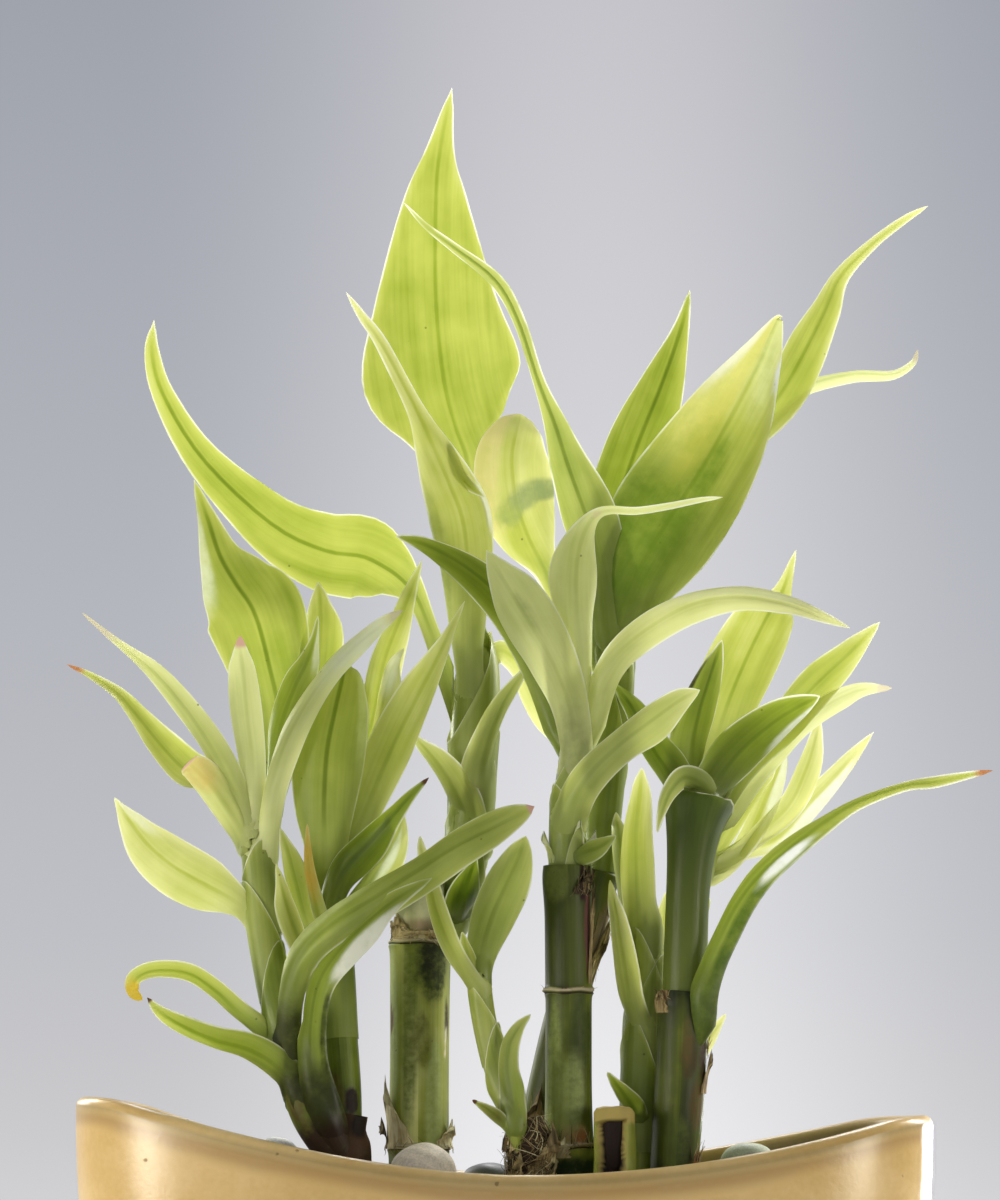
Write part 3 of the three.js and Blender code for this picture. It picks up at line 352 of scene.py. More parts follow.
@dataclass(frozen=True)
class GrowingStem:
    """Living stem or cane, grown: smooth and waxy, with soft upright bands of paler and deeper green,
    cloudy patches, fine upright fibres and dark scars."""

    name: str = "sheathed_green_stem"
    fibre_pitch: float = 0.6  # mm
    band_pitch: float = 4.5  # mm between the soft upright bands
    band: float = 0.64  # how much they show
    cloud: float = 12.0  # mm across a cloudy patch
    cloudy: float = 0.52  # how much it shows
    grain: float = 1.9231  # mm, of a stain's ragged edge and of the specks
    greens: Colours = ("#36460F", "#7F8D33", "#B9C361", "#E4E89A")
    speck: str = "#4A3B1C"
    roughness: float = 0.32

    def material(self) -> Material:
        """The stem's nodes."""
        s = Sheet(bpy.data.materials.new(self.name))
        stain = s.add("Attribute", attribute_name="stain")
        tone = s.add("SeparateColor", (s.add("Attribute", attribute_name="growth"),))
        uv = s.add("UVMap", uv_map="UVMap")
        cell = s.add("TexCoord", out="Object")
        fibres = s.streaks(uv, self.fibre_pitch, 40, 2)
        bands = s.streaks(uv, self.band_pitch, 7, 0)
        clouds = s.add("TexNoise", {"Vector": cell, "Scale": 1 / (self.cloud * MM), "Detail": 3})
        value = s.swing(tone, (fibres, 0.14), (bands, self.band), (clouds, self.cloudy))
        colour = s.add("ValToRGB", (value,), stops=(RAMP, self.greens))
        grain = s.add("TexNoise", {"Vector": cell, "Scale": 1 / (self.grain * MM), "Detail": 4,
                                   "Roughness": 0.6})
        spot = s.add("Math MULTIPLY", (stain.node.outputs["Alpha"], s.swing(1.0, (grain, 1.4))))
        spot = s.add("MapRange", (spot, 0.08, 0.85), **SOFT)
        specks = s.add("MapRange", (grain, 0.69, 0.74, 0, 0.5), **SOFT)
        colour = s.coat(colour, (spot, stain), (specks, linear(self.speck)))
        relief = s.add("Math MULTIPLY_ADD", (spot, -0.5, s.add("Math MULTIPLY", (fibres, 0.6))))
        relief = s.add("Math MULTIPLY_ADD", (grain, 0.35, relief))
        bump = s.add("Bump", {"Height": relief, "Strength": 0.35, "Distance": 0.0005})
        gloss = s.add("Math MULTIPLY_ADD", (spot, 0.3, self.roughness))
        return s.finish(s.add("BsdfPrincipled", {
            "Base Color": colour, "Roughness": gloss, "Normal": bump, "IOR": 1.45,
            "Specular IOR Level": 0.35, "Coat Weight": 0.06, "Coat Roughness": 0.45}))


@dataclass(frozen=True)
class DriedFibre:
    """Dead leaf sheath and root fibre, dried on the plant: papery, matt, in grey and tan streaks."""

    name: str = "dried_sheath_fibre"
    colours: Colours = ("#33271A", "#77653F", "#B3A06F", "#DFD5A9")
    streak_pitch: float = 0.45  # mm
    blotch: float = 3.8462  # mm

    def material(self) -> Material:
        """The dry fibre's nodes."""
        s = Sheet(bpy.data.materials.new(self.name))
        tone = s.add("SeparateColor", (s.add("Attribute", attribute_name="growth"),))
        cell = s.add("TexCoord", out="Object")
        streak = s.streaks(s.add("UVMap", uv_map="UVMap"), self.streak_pitch, 18, 3)
        blotch = s.add("TexNoise", {"Vector": cell, "Scale": 1 / (self.blotch * MM)})
        value = s.swing(tone, (streak, 0.9), (blotch, 0.7))
        colour = s.add("ValToRGB", (value,), stops=(RAMP, self.colours))
        bump = s.add("Bump", {"Height": streak, "Strength": 0.7, "Distance": 0.0004})
        return s.finish(s.add("BsdfPrincipled", {
            "Base Color": colour, "Roughness": 0.8, "Normal": bump, "IOR": 1.4}))


@dataclass(frozen=True)
class RiverStone:
    """River pebble, tumbled smooth by water: each stone has its own colour, with fine speckle, some
    with bands, and a dull satin skin."""

    name: str = "tumbled_river_stone"
    speckle: float = 0.5  # mm
    cloud: float = 5.0  # mm
    band_pitch: float = 2.6  # mm
    wave_length: float = 0.314  # of a Wave node, at a scale of 1

    def material(self) -> Material:
        """The stone's nodes."""
        s = Sheet(bpy.data.materials.new(self.name))
        tint = s.add("Attribute", attribute_name="stain")
        cell = s.add("TexCoord", out="Object")
        speck = s.add("TexNoise", {"Vector": cell, "Scale": 1 / (self.speckle * MM), "Detail": 3})
        cloud = s.add("TexNoise", {"Vector": cell, "Scale": 1 / (self.cloud * MM), "Detail": 2})
        dark = s.add("MapRange", (speck, 0.36, 0.64, 0.84, 1.06))
        wash = s.add("MapRange", (cloud, 0.3, 0.7, 0.84, 1.12))
        bands = s.add("TexWave", {"Vector": cell, "Scale": self.wave_length / (self.band_pitch * MM),
                                  "Distortion": 3, "Detail": 1, "Detail Scale": 0.6}, 1,
                      bands_direction="DIAGONAL")
        banded = s.add("Math MULTIPLY", (bands, tint.node.outputs["Alpha"]))
        level = s.add("Math MULTIPLY_ADD", (banded, -0.3, s.add("Math MULTIPLY", (dark, wash))))
        colour = s.add("VectorMath SCALE", {0: tint, 3: level})
        bump = s.add("Bump", {"Height": speck, "Strength": 0.25, "Distance": 0.0002})
        gloss = s.add("MapRange", (cloud, 0.3, 0.7, 0.4, 0.62))
        return s.finish(s.add("BsdfPrincipled", {
            "Base Color": colour, "Roughness": gloss, "Normal": bump, "IOR": 1.5}))


@dataclass(frozen=True)
class GlazedStoneware:
    """Stoneware with a tan satin glaze, thrown, pressed oblong and fired: soft sheen, faint cloudy
    colour, a browner band of painted shade under the lip, a dark inner wall of painted shade, pits and small
    bare chips."""

    name: str = "satin_glazed_stoneware"
    body: str = "#C2A05C"
    pale: str = "#D9BC80"
    # colour of the painted shade under the lip
    brown: str = "#8E6C37"
    # colour of the painted shade on the inner wall
    inside: str = "#4C4A26"
    bare_clay: str = "#BDA27A"
    mark: str = "#7A5A2E"
    cloud: float = 34.0  # mm
    fine: float = 1.42857  # mm, of the glaze's grain
    chip: float = 10.5263  # mm between the chips
    pit_cell: float = 6.5  # mm between the places where a pit may be
    roughness: float = 0.22

    def material(self) -> Material:
        """The glaze's nodes."""
        s = Sheet(bpy.data.materials.new(self.name))
        growth = s.add("Attribute", attribute_name="growth")
        lip, inner_shade, foot = s.add("SeparateColor", (growth,)).node.outputs
        cell = s.add("TexCoord", out="Object")
        cloud = s.add("TexNoise", {"Vector": cell, "Scale": 1 / (self.cloud * MM), "Detail": 5,
                                   "Roughness": 0.6})
        fine = s.add("TexNoise", {"Vector": cell, "Scale": 1 / (self.fine * MM), "Detail": 3})
        value = s.swing(cloud, (fine, 0.22))
        colour = s.add("ValToRGB", (value,), stops=((0.32, 0.68), (self.body, self.pale)))
        # painted shade: a browner band under the lip
        band = s.add("MapRange", (s.swing(lip, (value, 1.2)), 0.15, 1.0, 0.0, 0.6), **SOFT)
        holes = s.add("TexVoronoi", {"Vector": cell, "Scale": 1 / (self.pit_cell * MM)})
        draw = s.add("SeparateColor", (holes.node.outputs["Color"],))
        rare = s.add("MapRange", (draw, 0.45, 0.47), **SOFT)
        pit = s.add("MapRange", (s.swing(holes, (fine, 0.16)), 0.04, 0.1, 1, 0), **SOFT)
        pit = s.add("Math MULTIPLY", (pit, rare))
        peel = s.add("TexNoise", {"Vector": cell, "Scale": 1 / (self.chip * MM), "Detail": 6,
                                  "Roughness": 0.72})
        marks = s.add("Math MAXIMUM", (pit, s.add("MapRange", (peel, 0.69, 0.72, 0.0, 0.7), **SOFT)))
        # the browner band under the lip and the dark inner wall are painted shade
        colour = s.coat(colour, (band, linear(self.brown)),
                        (s.add("Math MULTIPLY", (marks, 0.8)), linear(self.mark)),
                        (inner_shade, linear(self.inside)), (foot, linear(self.bare_clay)))
        height = s.add("Math MULTIPLY_ADD", (marks, -1.0, s.add("Math MULTIPLY", (fine, 0.3))))
        height = s.add("Math MULTIPLY_ADD", (cloud, 2.0, height))
        bump = s.add("Bump", {"Height": height, "Strength": 0.3, "Distance": 0.0006})
        rough = self.roughness
        for signal, amount in ((value, 0.2), (marks, 0.35), (inner_shade, 0.2), (foot, 0.45)):
            rough = s.add("Math MULTIPLY_ADD", (signal, amount, rough))
        return s.finish(s.add("BsdfPrincipled", {
            "Base Color": colour, "Roughness": rough, "Normal": bump, "IOR": 1.5,
            "Coat Weight": 0.2, "Coat Roughness": 0.25}))


@dataclass(frozen=True)
class StudioPaper:
    """Matt white paper on the studio floor: no sheen, a trace of tooth. Far off it fades into the
    surround, so that no edge of it shows."""

    name: str = "matt_studio_paper"
    colour: str = "#DAD9DB"
    tooth: float = 1.66667  # mm, coarser than real paper's so that it shows
    fade: Pair = (1.3, 3.6)  # m from the middle

    def material(self) -> Material:
        """The paper's nodes."""
        s = Sheet(bpy.data.materials.new(self.name))
        cell = s.add("TexCoord", out="Object")
        tooth = s.add("TexNoise", {"Vector": cell, "Scale": 1 / (self.tooth * MM), "Detail": 2})
        bump = s.add("Bump", {"Height": tooth, "Strength": 0.05, "Distance": 0.0003})
        skin = s.add("BsdfPrincipled", {"Base Color": linear(self.colour), "Roughness": 0.9, "Normal": bump})
        far = s.add("VectorMath LENGTH", (cell,), "Value")
        clear = s.add("BsdfTransparent", ((1, 1, 1, 1),))
        return s.finish(s.add("MixShader", (s.add("MapRange", (far, *self.fade), **SOFT), skin, clear)))

# Meshes


class Growth:
    """Collects the points, faces and painted values of one piece."""

    def __init__(self) -> None:
        """Starts empty."""
        self.points: list[Array] = []
        self.painted: list[Array] = []
        self.faces: list[tuple[int, ...]] = []
        self.corners: list[Pair] = []

    def put(self, points: Array, painted: Array) -> int:
        """Adds loose points.

        Args:
            points: places in millimetres.
            painted: the growth, the stains and painted light, the midrib and the edge highlight for each, or
                for all.

        Returns:
            The number of the first of them.
        """
        start = sum(map(len, self.points))
        self.points.append(points)
        self.painted.append(np.broadcast_to(painted, (len(points), 10)))
        return start

    def grid(self, points: Array, growth: Array | Row, stain: Array | Row = (0, 0, 0, 0),
             extra: Array | Row = (0, 0), uv: Array | None = None, closed: bool = False) -> None:
        """Adds a net of four-sided faces.

        Args:
            points: rows of points, in millimetres.
            growth: tone, sage, sheath and edge for each point, or for all.
            stain: colour and strength for each point, or for all.
            extra: midrib, and how strongly the painted edge highlight shows, for each point or for all.
            uv: a place on the pattern for each corner, with one column more where closed.
            closed: joins the last column to the first, and closes both ends with fans.
        """
        rows, columns = points.shape[:2]
        uv = np.zeros((rows, columns + 1, 2)) if uv is None else uv
        painted = np.concatenate([np.broadcast_to(values, (rows, columns, width))
                                  for values, width in ((growth, 4), (stain, 4), (extra, 2))], -1)
        start = self.put(points.reshape(-1, 3), painted.reshape(-1, 10))
        steps = columns if closed else columns - 1
        for i in range(rows - 1):
            for j in range(steps):
                k = (j + 1) % columns
                low, high = start + i * columns, start + (i + 1) * columns
                self.faces.append((low + j, low + k, high + k, high + j))
                self.corners += [tuple(uv[i + a, j + b]) for a, b in ((0, 0), (0, 1), (1, 1), (1, 0))]
        for row in (0, rows - 1) if closed else ():
            middle = self.put(points[row].mean(0)[None], painted[row, 0])
            for j in range(steps):
                near, far = (start + row * columns + n % columns for n in (j, j + 1))
                self.faces.append((middle, near, far) if row else (middle, far, near))
                self.corners += [tuple(uv[row, n]) for n in (j, j + 1, j)]

    def shell(self, points: Array, faces: Array, tint: Row) -> None:
        """Adds a ready mesh of triangles.

        Args:
            points: places in millimetres.
            faces: three point numbers each.
            tint: its colour, and how much its bands show.
        """
        start = self.put(points, (0.5, 0, 0, NO_EDGE, *tint, 0, 0))
        self.faces += [tuple(int(n) + start for n in face) for face in faces]
        self.corners += [(0.0, 0.0)] * (3 * len(faces))

    def piece(self, name: str, material: Material, nodes: Sequence[str] = ()) -> None:
        """Makes the piece, which rides on the part's body.

        Args:
            name: the piece's name.
            material: its material.
            nodes: the solids that it stands for.
        """
        mesh = bpy.data.meshes.new(name)
        mesh.from_pydata((np.concatenate(self.points) * MM).tolist(), [], self.faces)
        layer = mesh.uv_layers.new(name="UVMap")
        layer.data.foreach_set("uv", np.asarray(self.corners, np.float32).ravel())
        painted = np.concatenate(self.painted).astype(np.float32)
        for title, first, last in (("growth", 0, 4), ("stain", 4, 8), ("midrib", 8, 9), ("margin", 9, 10)):
            kind, channel = ("FLOAT_COLOR", "color") if last - first > 1 else ("FLOAT", "value")
            attribute = mesh.attributes.new(title, kind, "POINT")
            attribute.data.foreach_set(channel, painted[:, first:last].ravel())
        mesh.validate(clean_customdata=False)
        mesh.shade_smooth()
        mesh.materials.append(material)
        made = placed(name, mesh)
        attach(made, "root")
        if nodes:
            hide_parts(*nodes)
        log.info("%s: %d faces", name, len(mesh.polygons))


@dataclass(frozen=True)
class Patch:
    """A patch of colour on a stem or cane: most are stains and scars; some are painted sheen, painted glints
    and painted shade.
    """

    angle: float  # degrees round from the front, to the right
    up: float  # mm on the sighting plane
    wide: float  # degrees to each side
    tall: float  # mm to each side
    colour: str
    strength: float = 1.0

    def lay(self, stain: Array, angle: Array, up: Array) -> None:
        """Lays the patch over others.

        Args:
            stain: colour and strength for each point, which it changes.
            angle: degrees round from the front.
            up: height on the sighting plane.
        """
        off = (angle - self.angle + 180) % 360 - 180
        far = np.hypot(off / self.wide, (up - self.up) / self.tall)
        lay(stain, self.strength * (1 - ease(0.55, 1.15, far)), self.colour)


ALL_ROUND = 500.0  # degrees, so wide that a stain doesn't fade round the back


@dataclass
class Tube:
    """A round stem along rows of across, up, depth and radius."""

    rows: Sequence[Row]
    tone: Pair = (0.4, 0.5)  # at its foot and its top
    patches: Sequence[Patch] = ()
    rings: Sequence[float] = ()  # heights of the node rings
    taper: bool = False
    seed: int = 1
    sides: int = 40
    pitch: float = 0.8  # mm between rings of points
    crowding: float = 4.5  # more rings of points to a mm at a node ring
    stations: int = 400  # places that its run is looked up at
    uneven: Pair = (0.014, 0.01)  # shares by which it isn't round
    ridge: float = 0.34  # mm that a node ring stands out
    groove: float = 0.3  # mm that the line under it goes in
    ridge_colour: str = "#C4B595"
    groove_colour: str = "#2E2813"

    def frame_at(self, t: Array) -> tuple[Array, ...]:
        """Where the stem runs.

        Args:
            t: places along it, from 0 to 1.

        Returns:
            Its middle, right side, front side, height on the sighting plane and radius.
        """
        run = smooth_run(self.rows, t, True)
        direction = heading(self.rows, t, True)
        right = unit(np.cross(np.array([0.0, 1.0, 0.0]), direction))
        return sight(run), right, np.cross(right, direction), run[:, 1], run[:, 3]

    def grow(self, into: Growth) -> None:
        """Adds the stem's mesh.

        Args:
            into: where it goes.
        """
        throw = random.Random(self.seed)
        ends = sight(np.asarray(self.rows, float)[[0, -1]])
        length = float(np.linalg.norm(ends[1] - ends[0]))
        even = np.linspace(0, 1, self.stations)
        crowd = np.full(self.stations, 1 / self.pitch)
        for ring in self.rings:
            crowd += self.crowding * np.exp(-((self.frame_at(even)[3] - ring) / 1.6) ** 2)
        count = np.cumsum((crowd[1:] + crowd[:-1]) / 2) * length / (self.stations - 1)
        count = np.concatenate([[0], count])
        t = np.interp(np.linspace(0, count[-1], max(int(count[-1]), 12)), count, even)
        middle, right, front, up, radius = self.frame_at(t)
        if self.taper:
            radius = radius * (1 - 0.93 * ease(0.86, 1.0, t))
        turn, height = np.meshgrid(np.linspace(0, FULL_TURN, self.sides, endpoint=False), up)
        phase = [throw.uniform(0, 6.28) for _ in range(4)]
        round_out = 1 + self.uneven[0] * np.sin(2 * turn + phase[0])
        round_out += self.uneven[1] * np.sin(3 * turn + phase[1] + height * 0.05)
        size = radius[:, None] * round_out
        stain = np.zeros(turn.shape + (4,))
        for patch in self.patches:
            patch.lay(stain, np.degrees(turn), height)
        for ring in self.rings:
            off = height - ring - 0.3 * np.sin(turn + phase[2]) - 0.12 * np.sin(5 * turn + phase[3])
            ridge, groove = np.exp(-((off - 0.5) / 0.55) ** 2), np.exp(-((off + 0.35) / 0.26) ** 2)
            size = size + self.ridge * ridge - self.groove * groove
            for share, colour in ((ridge * 0.9, self.ridge_colour), (groove, self.groove_colour)):
                stain[..., :3] += (np.array(linear(colour)[:3]) - stain[..., :3]) * share[..., None]
                stain[..., 3] = np.maximum(stain[..., 3], share * 1.1)
        points = turned(middle[:, None], right[:, None], front[:, None], size, turn)
        growth = stack((self.tone[0] + (self.tone[1] - self.tone[0]) * t)[:, None], 0, 0, NO_EDGE)
        around = np.linspace(0, FULL_TURN, self.sides + 1) * float(np.mean(radius))
        uv = np.stack(np.meshgrid(around, t * length + 300 * self.seed), -1)
        into.grid(points, growth, stain, uv=uv, closed=True)

    def skin(self, up: Array, angle: Array, off: Array) -> Array:
        """Points on or above the stem's skin.

        Args:
            up: heights on the sighting plane, in millimetres.
            angle: degrees round from the front.
            off: millimetres above the skin.

        Returns:
            The points.
        """
        even = np.linspace(0, 1, self.stations)
        t = np.interp(up.ravel(), smooth_run(self.rows, even, True)[:, 1], even)
        middle, right, front, _, radius = self.frame_at(t)
        points = turned(middle, right, front, radius + off.ravel(), np.radians(angle.ravel()))
        return points.reshape(up.shape + (3,))


@dataclass(frozen=True)
class Sheath:
    """An old leaf base that wraps a stem: green on a shoot, torn and papery on a cane."""

    angle: float  # degrees round from the front
    foot: float  # mm up on the sighting plane
    tall: float  # mm
    half: float  # degrees that its foot covers to each side
    lift: float = 0.8  # mm that its tip stands off
    lean: float = 0.0  # degrees that its tip is carried round
    point: float = 1.0  # how it narrows upward: 0 is a band
    tone: float = 0.6
    torn: float = 0.0  # how ragged its upper edge is
    slant: float = 0.0  # how much lower its mouth is on the far side
    stem: int = 0  # which of the shoot's stems it wraps
    bloom: float = 2.0  # how late upward it stands off
    rows: int = 26
    lanes: int = 21

    def add(self, tube: Tube, number: int, into: Growth) -> None:
        """Adds the sheath.

        Args:
            tube: the stem that it wraps.
            number: its place in the list.
            into: where it goes.
        """
        throw = random.Random(number + int(self.foot) * 7 + 3)
        s, q = np.linspace(0, 1, self.rows)[:, None], np.linspace(-1, 1, self.lanes)[None]
        rag = np.array([throw.uniform(0, 1) for _ in range(self.lanes)])[None]
        reach = 1 - self.torn * rag * s - 0.35 * self.point * q ** 2 * s
        reach = reach * (1 - self.slant * (1 - np.cos(np.radians(q * self.half))) / 2)
        narrow = (1 - s) ** (0.75 * self.point) * (1 - 0.25 * s) if self.point else np.ones_like(s)
        jag = 1 + 0.25 * self.torn * np.sin(s * 23 + throw.uniform(0, 6)) * np.abs(q)
        angle = self.angle + q * self.half * np.maximum(narrow, 0.03) * jag + self.lean * s
        curl = (0.25 + self.torn) * np.abs(q) ** 3 * s
        off = 0.2 + self.lift * s ** self.bloom + curl
        off = off + 0.3 * self.torn * np.sin(q * 9 + throw.uniform(0, 6))
        points = tube.skin(self.foot + self.tall * s * reach, angle, off)
        wide = np.radians(self.half) * 5.0 * np.maximum(narrow, 0.05)
        edge = np.minimum((1 - np.abs(q)) * wide + 2 * self.slant, (1 - s) * self.tall * reach)
        tone = self.tone + 0.1 * s - 0.3 * self.torn * s * np.abs(q)
        uv = stack(q * wide + 40, s * self.tall + 50 * number)
        # no midrib, and a painted edge highlight of 0.8
        into.grid(points, stack(tone, 0.45 * (1 - s), 0.85, edge), extra=(0, 0.8), uv=uv)


class Tip(Enum):
    """How a leaf ends: fresh, or with a dried tip of that colour."""

    FRESH = "#000000"
    PINK = "#DDB0A2"
    BROWN = "#5E3F24"
    ORANGE = "#C08455"
    YELLOW = "#D2B63E"
    STRAW = "#D9D0AE"


@dataclass(frozen=True)
class Mark:
    """A mark on a leaf, placed by shares of its length and of its half width. Some are stains, and others are
    painted highlights and painted shade, as the leaf tables say.
    """

    along: float
    across: float
    long: float
    wide: float
    colour: str
    strength: float = 1.0


@dataclass(frozen=True)
class Leaf:
    """A blade from its clasping base to its tip, along rows of across, up, depth and seen width."""

    rows: Sequence[Row]
    turn: Pair  # degrees that its face swings away from the eye
    tone: Pair
    cup: float  # how far its edges bend back
    spread: float = 0.8  # how much further out in depth its tip goes
    sage: float = 0.0
    midrib: float = 0.35
    # how strongly the painted edge highlight shows
    margin: float = 0.7
    tip: Tip = Tip.FRESH
    dried: float = 0.12  # share of its length that a dried tip takes
    marks: Sequence[Mark] = ()
    clasp: float = 100.0  # degrees that its base wraps the stem, to each side
    narrowest: float = 0.35  # mm
    lift: float = 0.07  # share of the half width that an edge's waves rise
    fold: float = 0.09  # mm that the lengthwise folds rise on a broad blade

    def stains(self, t: Array, q: Array) -> Array:
        """What its marks and its dried tip paint.

        Args:
            t: shares of its length, one to a row.
            q: shares of its half width, one to a column.

        Returns:
            Colour and strength for each point.
        """
        marks = [*self.marks]
        if self.tip is not Tip.FRESH:
            marks.append(Mark(1.0, 0.0, self.dried, 3.0, self.tip.value))
        stain = np.zeros(np.broadcast(t, q).shape + (4,))
        for mark in marks:
            far = np.hypot((t - mark.along) / mark.long, (q - mark.across) / mark.wide)
            lay(stain, mark.strength * (1 - ease(0.5, 1.2, far)), mark.colour)
        return stain


# Sub-assemblies


@dataclass
class Shoot:
    """A leafy shoot: its stems, and its leaves in one piece."""

    name: str
    stems: Sequence[Sequence[Row]]
    leaves: Sequence[Leaf]
    stem_tone: Pair = (0.35, 0.6)
    patches: Sequence[Patch] = ()
    sheaths: Sequence[Sheath] = ()
    seed: int = 1
    stations: int = 52
    lanes: int = 15
    slim: float = 0.88
    tubes: list[Tube] = field(default_factory=list)

    def build_stems(self, skin: Material) -> None:
        """Makes the stems.

        Args:
            skin: their material.
        """
        into = Growth()
        for i, rows in enumerate(self.stems):
            rows = [(*row[:3], row[3] * self.slim) for row in rows]
            tube = Tube(rows, self.stem_tone, self.patches, taper=True, seed=self.seed * 10 + i, sides=32)
            tube.grow(into)
            self.tubes.append(tube)
        into.piece(self.name + "_stems", skin)

    def stem_line(self) -> tuple[Array, Array]:
        """Points down the middle of every stem, with the radius there."""
        runs = [tube.frame_at(np.linspace(0, 0.97, 70)) for tube in self.tubes]
        return np.concatenate([run[0] for run in runs]), np.concatenate([run[4] for run in runs])

    def blade(self, leaf: Leaf, number: int, into: Growth) -> None:
        """Adds one leaf.

        Args:
            leaf: its rows and look.
            number: its place in the list, which sets its waves.
            into: where it goes.
        """
        throw = random.Random(self.seed * 100 + number)
        rows = np.asarray(leaf.rows, float)
        further = 1 + leaf.spread * np.linspace(0, 1, len(rows))
        rows[:, 2] = rows[0, 2] + (rows[:, 2] - rows[0, 2]) * further
        even = np.linspace(0, 1, self.stations)
        t = 0.5 * even + 0.5 * np.sin(even * math.pi / 2)
        run = smooth_run(rows, t)
        middle = sight(run)
        direction = heading(rows, t)
        flat = unit(np.cross(unit(middle - EYE), direction))
        swing = leaf.turn[0] + (leaf.turn[1] - leaf.turn[0]) * t
        swing = np.radians(swing * (1 - 0.6 * ease(0.75, 0.95, t)))[:, None]
        side = flat * np.cos(swing) + np.cross(flat, direction) * np.sin(swing)
        out = np.cross(side, direction)
        half = np.maximum(run[:, 3], leaf.narrowest) / 2 / np.cos(swing[:, 0])
        half = half * (1 - 0.15 * (1 - ease(0.1, 0.4, t)))
        half = half * np.sqrt(np.clip((1.001 - t) / 0.035, 0.001, 1))
        length = np.cumsum(np.linalg.norm(np.diff(middle, axis=0), axis=1))
        length = np.concatenate([[0], length])
        bend = 2 * np.arctan(abs(leaf.cup) * (1.5 - t))
        bend = bend * (1 + 0.3 * np.sin(length / throw.uniform(7, 12) + throw.uniform(0, 6.28)))
        near_tip = ease(0.7, 0.92, t)
        bend = bend * (1 - 0.92 * near_tip)
        bend = bend + (math.radians(leaf.clasp) - bend) * (1 - ease(0.05, 0.3, t))
        way = 1.0 if leaf.cup >= 0 else -1.0
        size = (half / np.sin(np.minimum(bend, math.pi / 2)))[:, None]
        q = np.linspace(-1, 1, self.lanes)[None]
        arc = q * bend[:, None]
        points = middle[:, None] + side[:, None] * (size * np.sin(arc))[..., None]
        points = points - out[:, None] * (way * size * (1 - np.cos(arc)))[..., None]
        left, right = (np.sin(length / throw.uniform(4.5, 8) + throw.uniform(0, 6.28)) for _ in range(2))
        ripple = np.where(q < 0, left[:, None], right[:, None]) * np.abs(q) ** 2.2
        crease = -0.5 * np.exp(-(q / 0.16) ** 2) * way
        folds = leaf.fold * np.sin(q * 11 + throw.uniform(0, 6)) * np.minimum(half, 8)[:, None] / 8
        rise = ripple * np.minimum(half, 7)[:, None] * leaf.lift + crease * leaf.midrib + folds
        rise = rise * (ease(0.15, 0.5, t) * (1 - near_tip))[:, None]
        points = self.clear_of_stems(points + out[:, None] * rise[..., None], t, number)
        broad = half * np.maximum(bend / np.sin(np.minimum(bend, 1.5)), 1)
        half, broad, length, t = (values[:, None] for values in (half, broad, length, t))
        growth = stack(leaf.tone[0] + (leaf.tone[1] - leaf.tone[0]) * (t + 0.06 * np.abs(q)),
                       np.maximum(leaf.sage, 0.3 * (1 - ease(0.12, 0.5, t))), 1 - ease(0.05, 0.38, t),
                       (1 - np.abs(q)) * broad)
        midrib = leaf.midrib * ease(0.15, 0.4, t) * (1 - ease(0.8, 1, t))
        extra = stack(midrib, leaf.margin * ease(0.1, 0.3, t))
        uv = stack(q * half, length + 400 * number)
        into.grid(points, growth, leaf.stains(t, q), extra, uv)

    def clear_of_stems(self, points: Array, t: Array, number: int) -> Array:
        """Pushes a clasping base out to the skin of the stem that it wraps.

        Args:
            points: the leaf's net of points.
            t: the share of its length at each row.
            number: the leaf's place in the list, so that bases nest in one another.

        Returns:
            The net, clear of the stems.
        """
        line, radius = self.stem_line()
        flat = points.reshape(-1, 3)
        t = np.repeat(t, points.shape[1])
        near = (np.linalg.norm(flat[:, None] - line[None], axis=-1) - radius[None]).argmin(1)
        line, radius = line[near], radius[near]
        away = flat - line
        tuck = np.maximum(np.linalg.norm(away, axis=1) - radius + 0.5, 0) * (1 - ease(0.0, 0.08, t))
        flat = flat - unit(away) * np.minimum(tuck, 2.5)[:, None]
        away = flat - line
        wanted = radius - 0.5 + (0.75 + 0.05 * (number % 7)) * ease(0.0, 0.1, t)
        push = np.maximum(wanted - np.linalg.norm(away, axis=1), 0) * (1 - ease(0.45, 0.7, t))
        return (flat + unit(away) * push[:, None]).reshape(points.shape)

    def build_leaves(self, tissue: Material) -> None:
        """Makes the leaves in one piece, which with the stems stands for the shoot's solid.

        Args:
            tissue: their material.
        """
        into = Growth()
        for number, leaf in enumerate(self.leaves):
            self.blade(leaf, number, into)
        for number, sheath in enumerate(self.sheaths):
            sheath.add(self.tubes[sheath.stem], number, into)
        into.piece(self.name + "_leaves", tissue, [self.name])


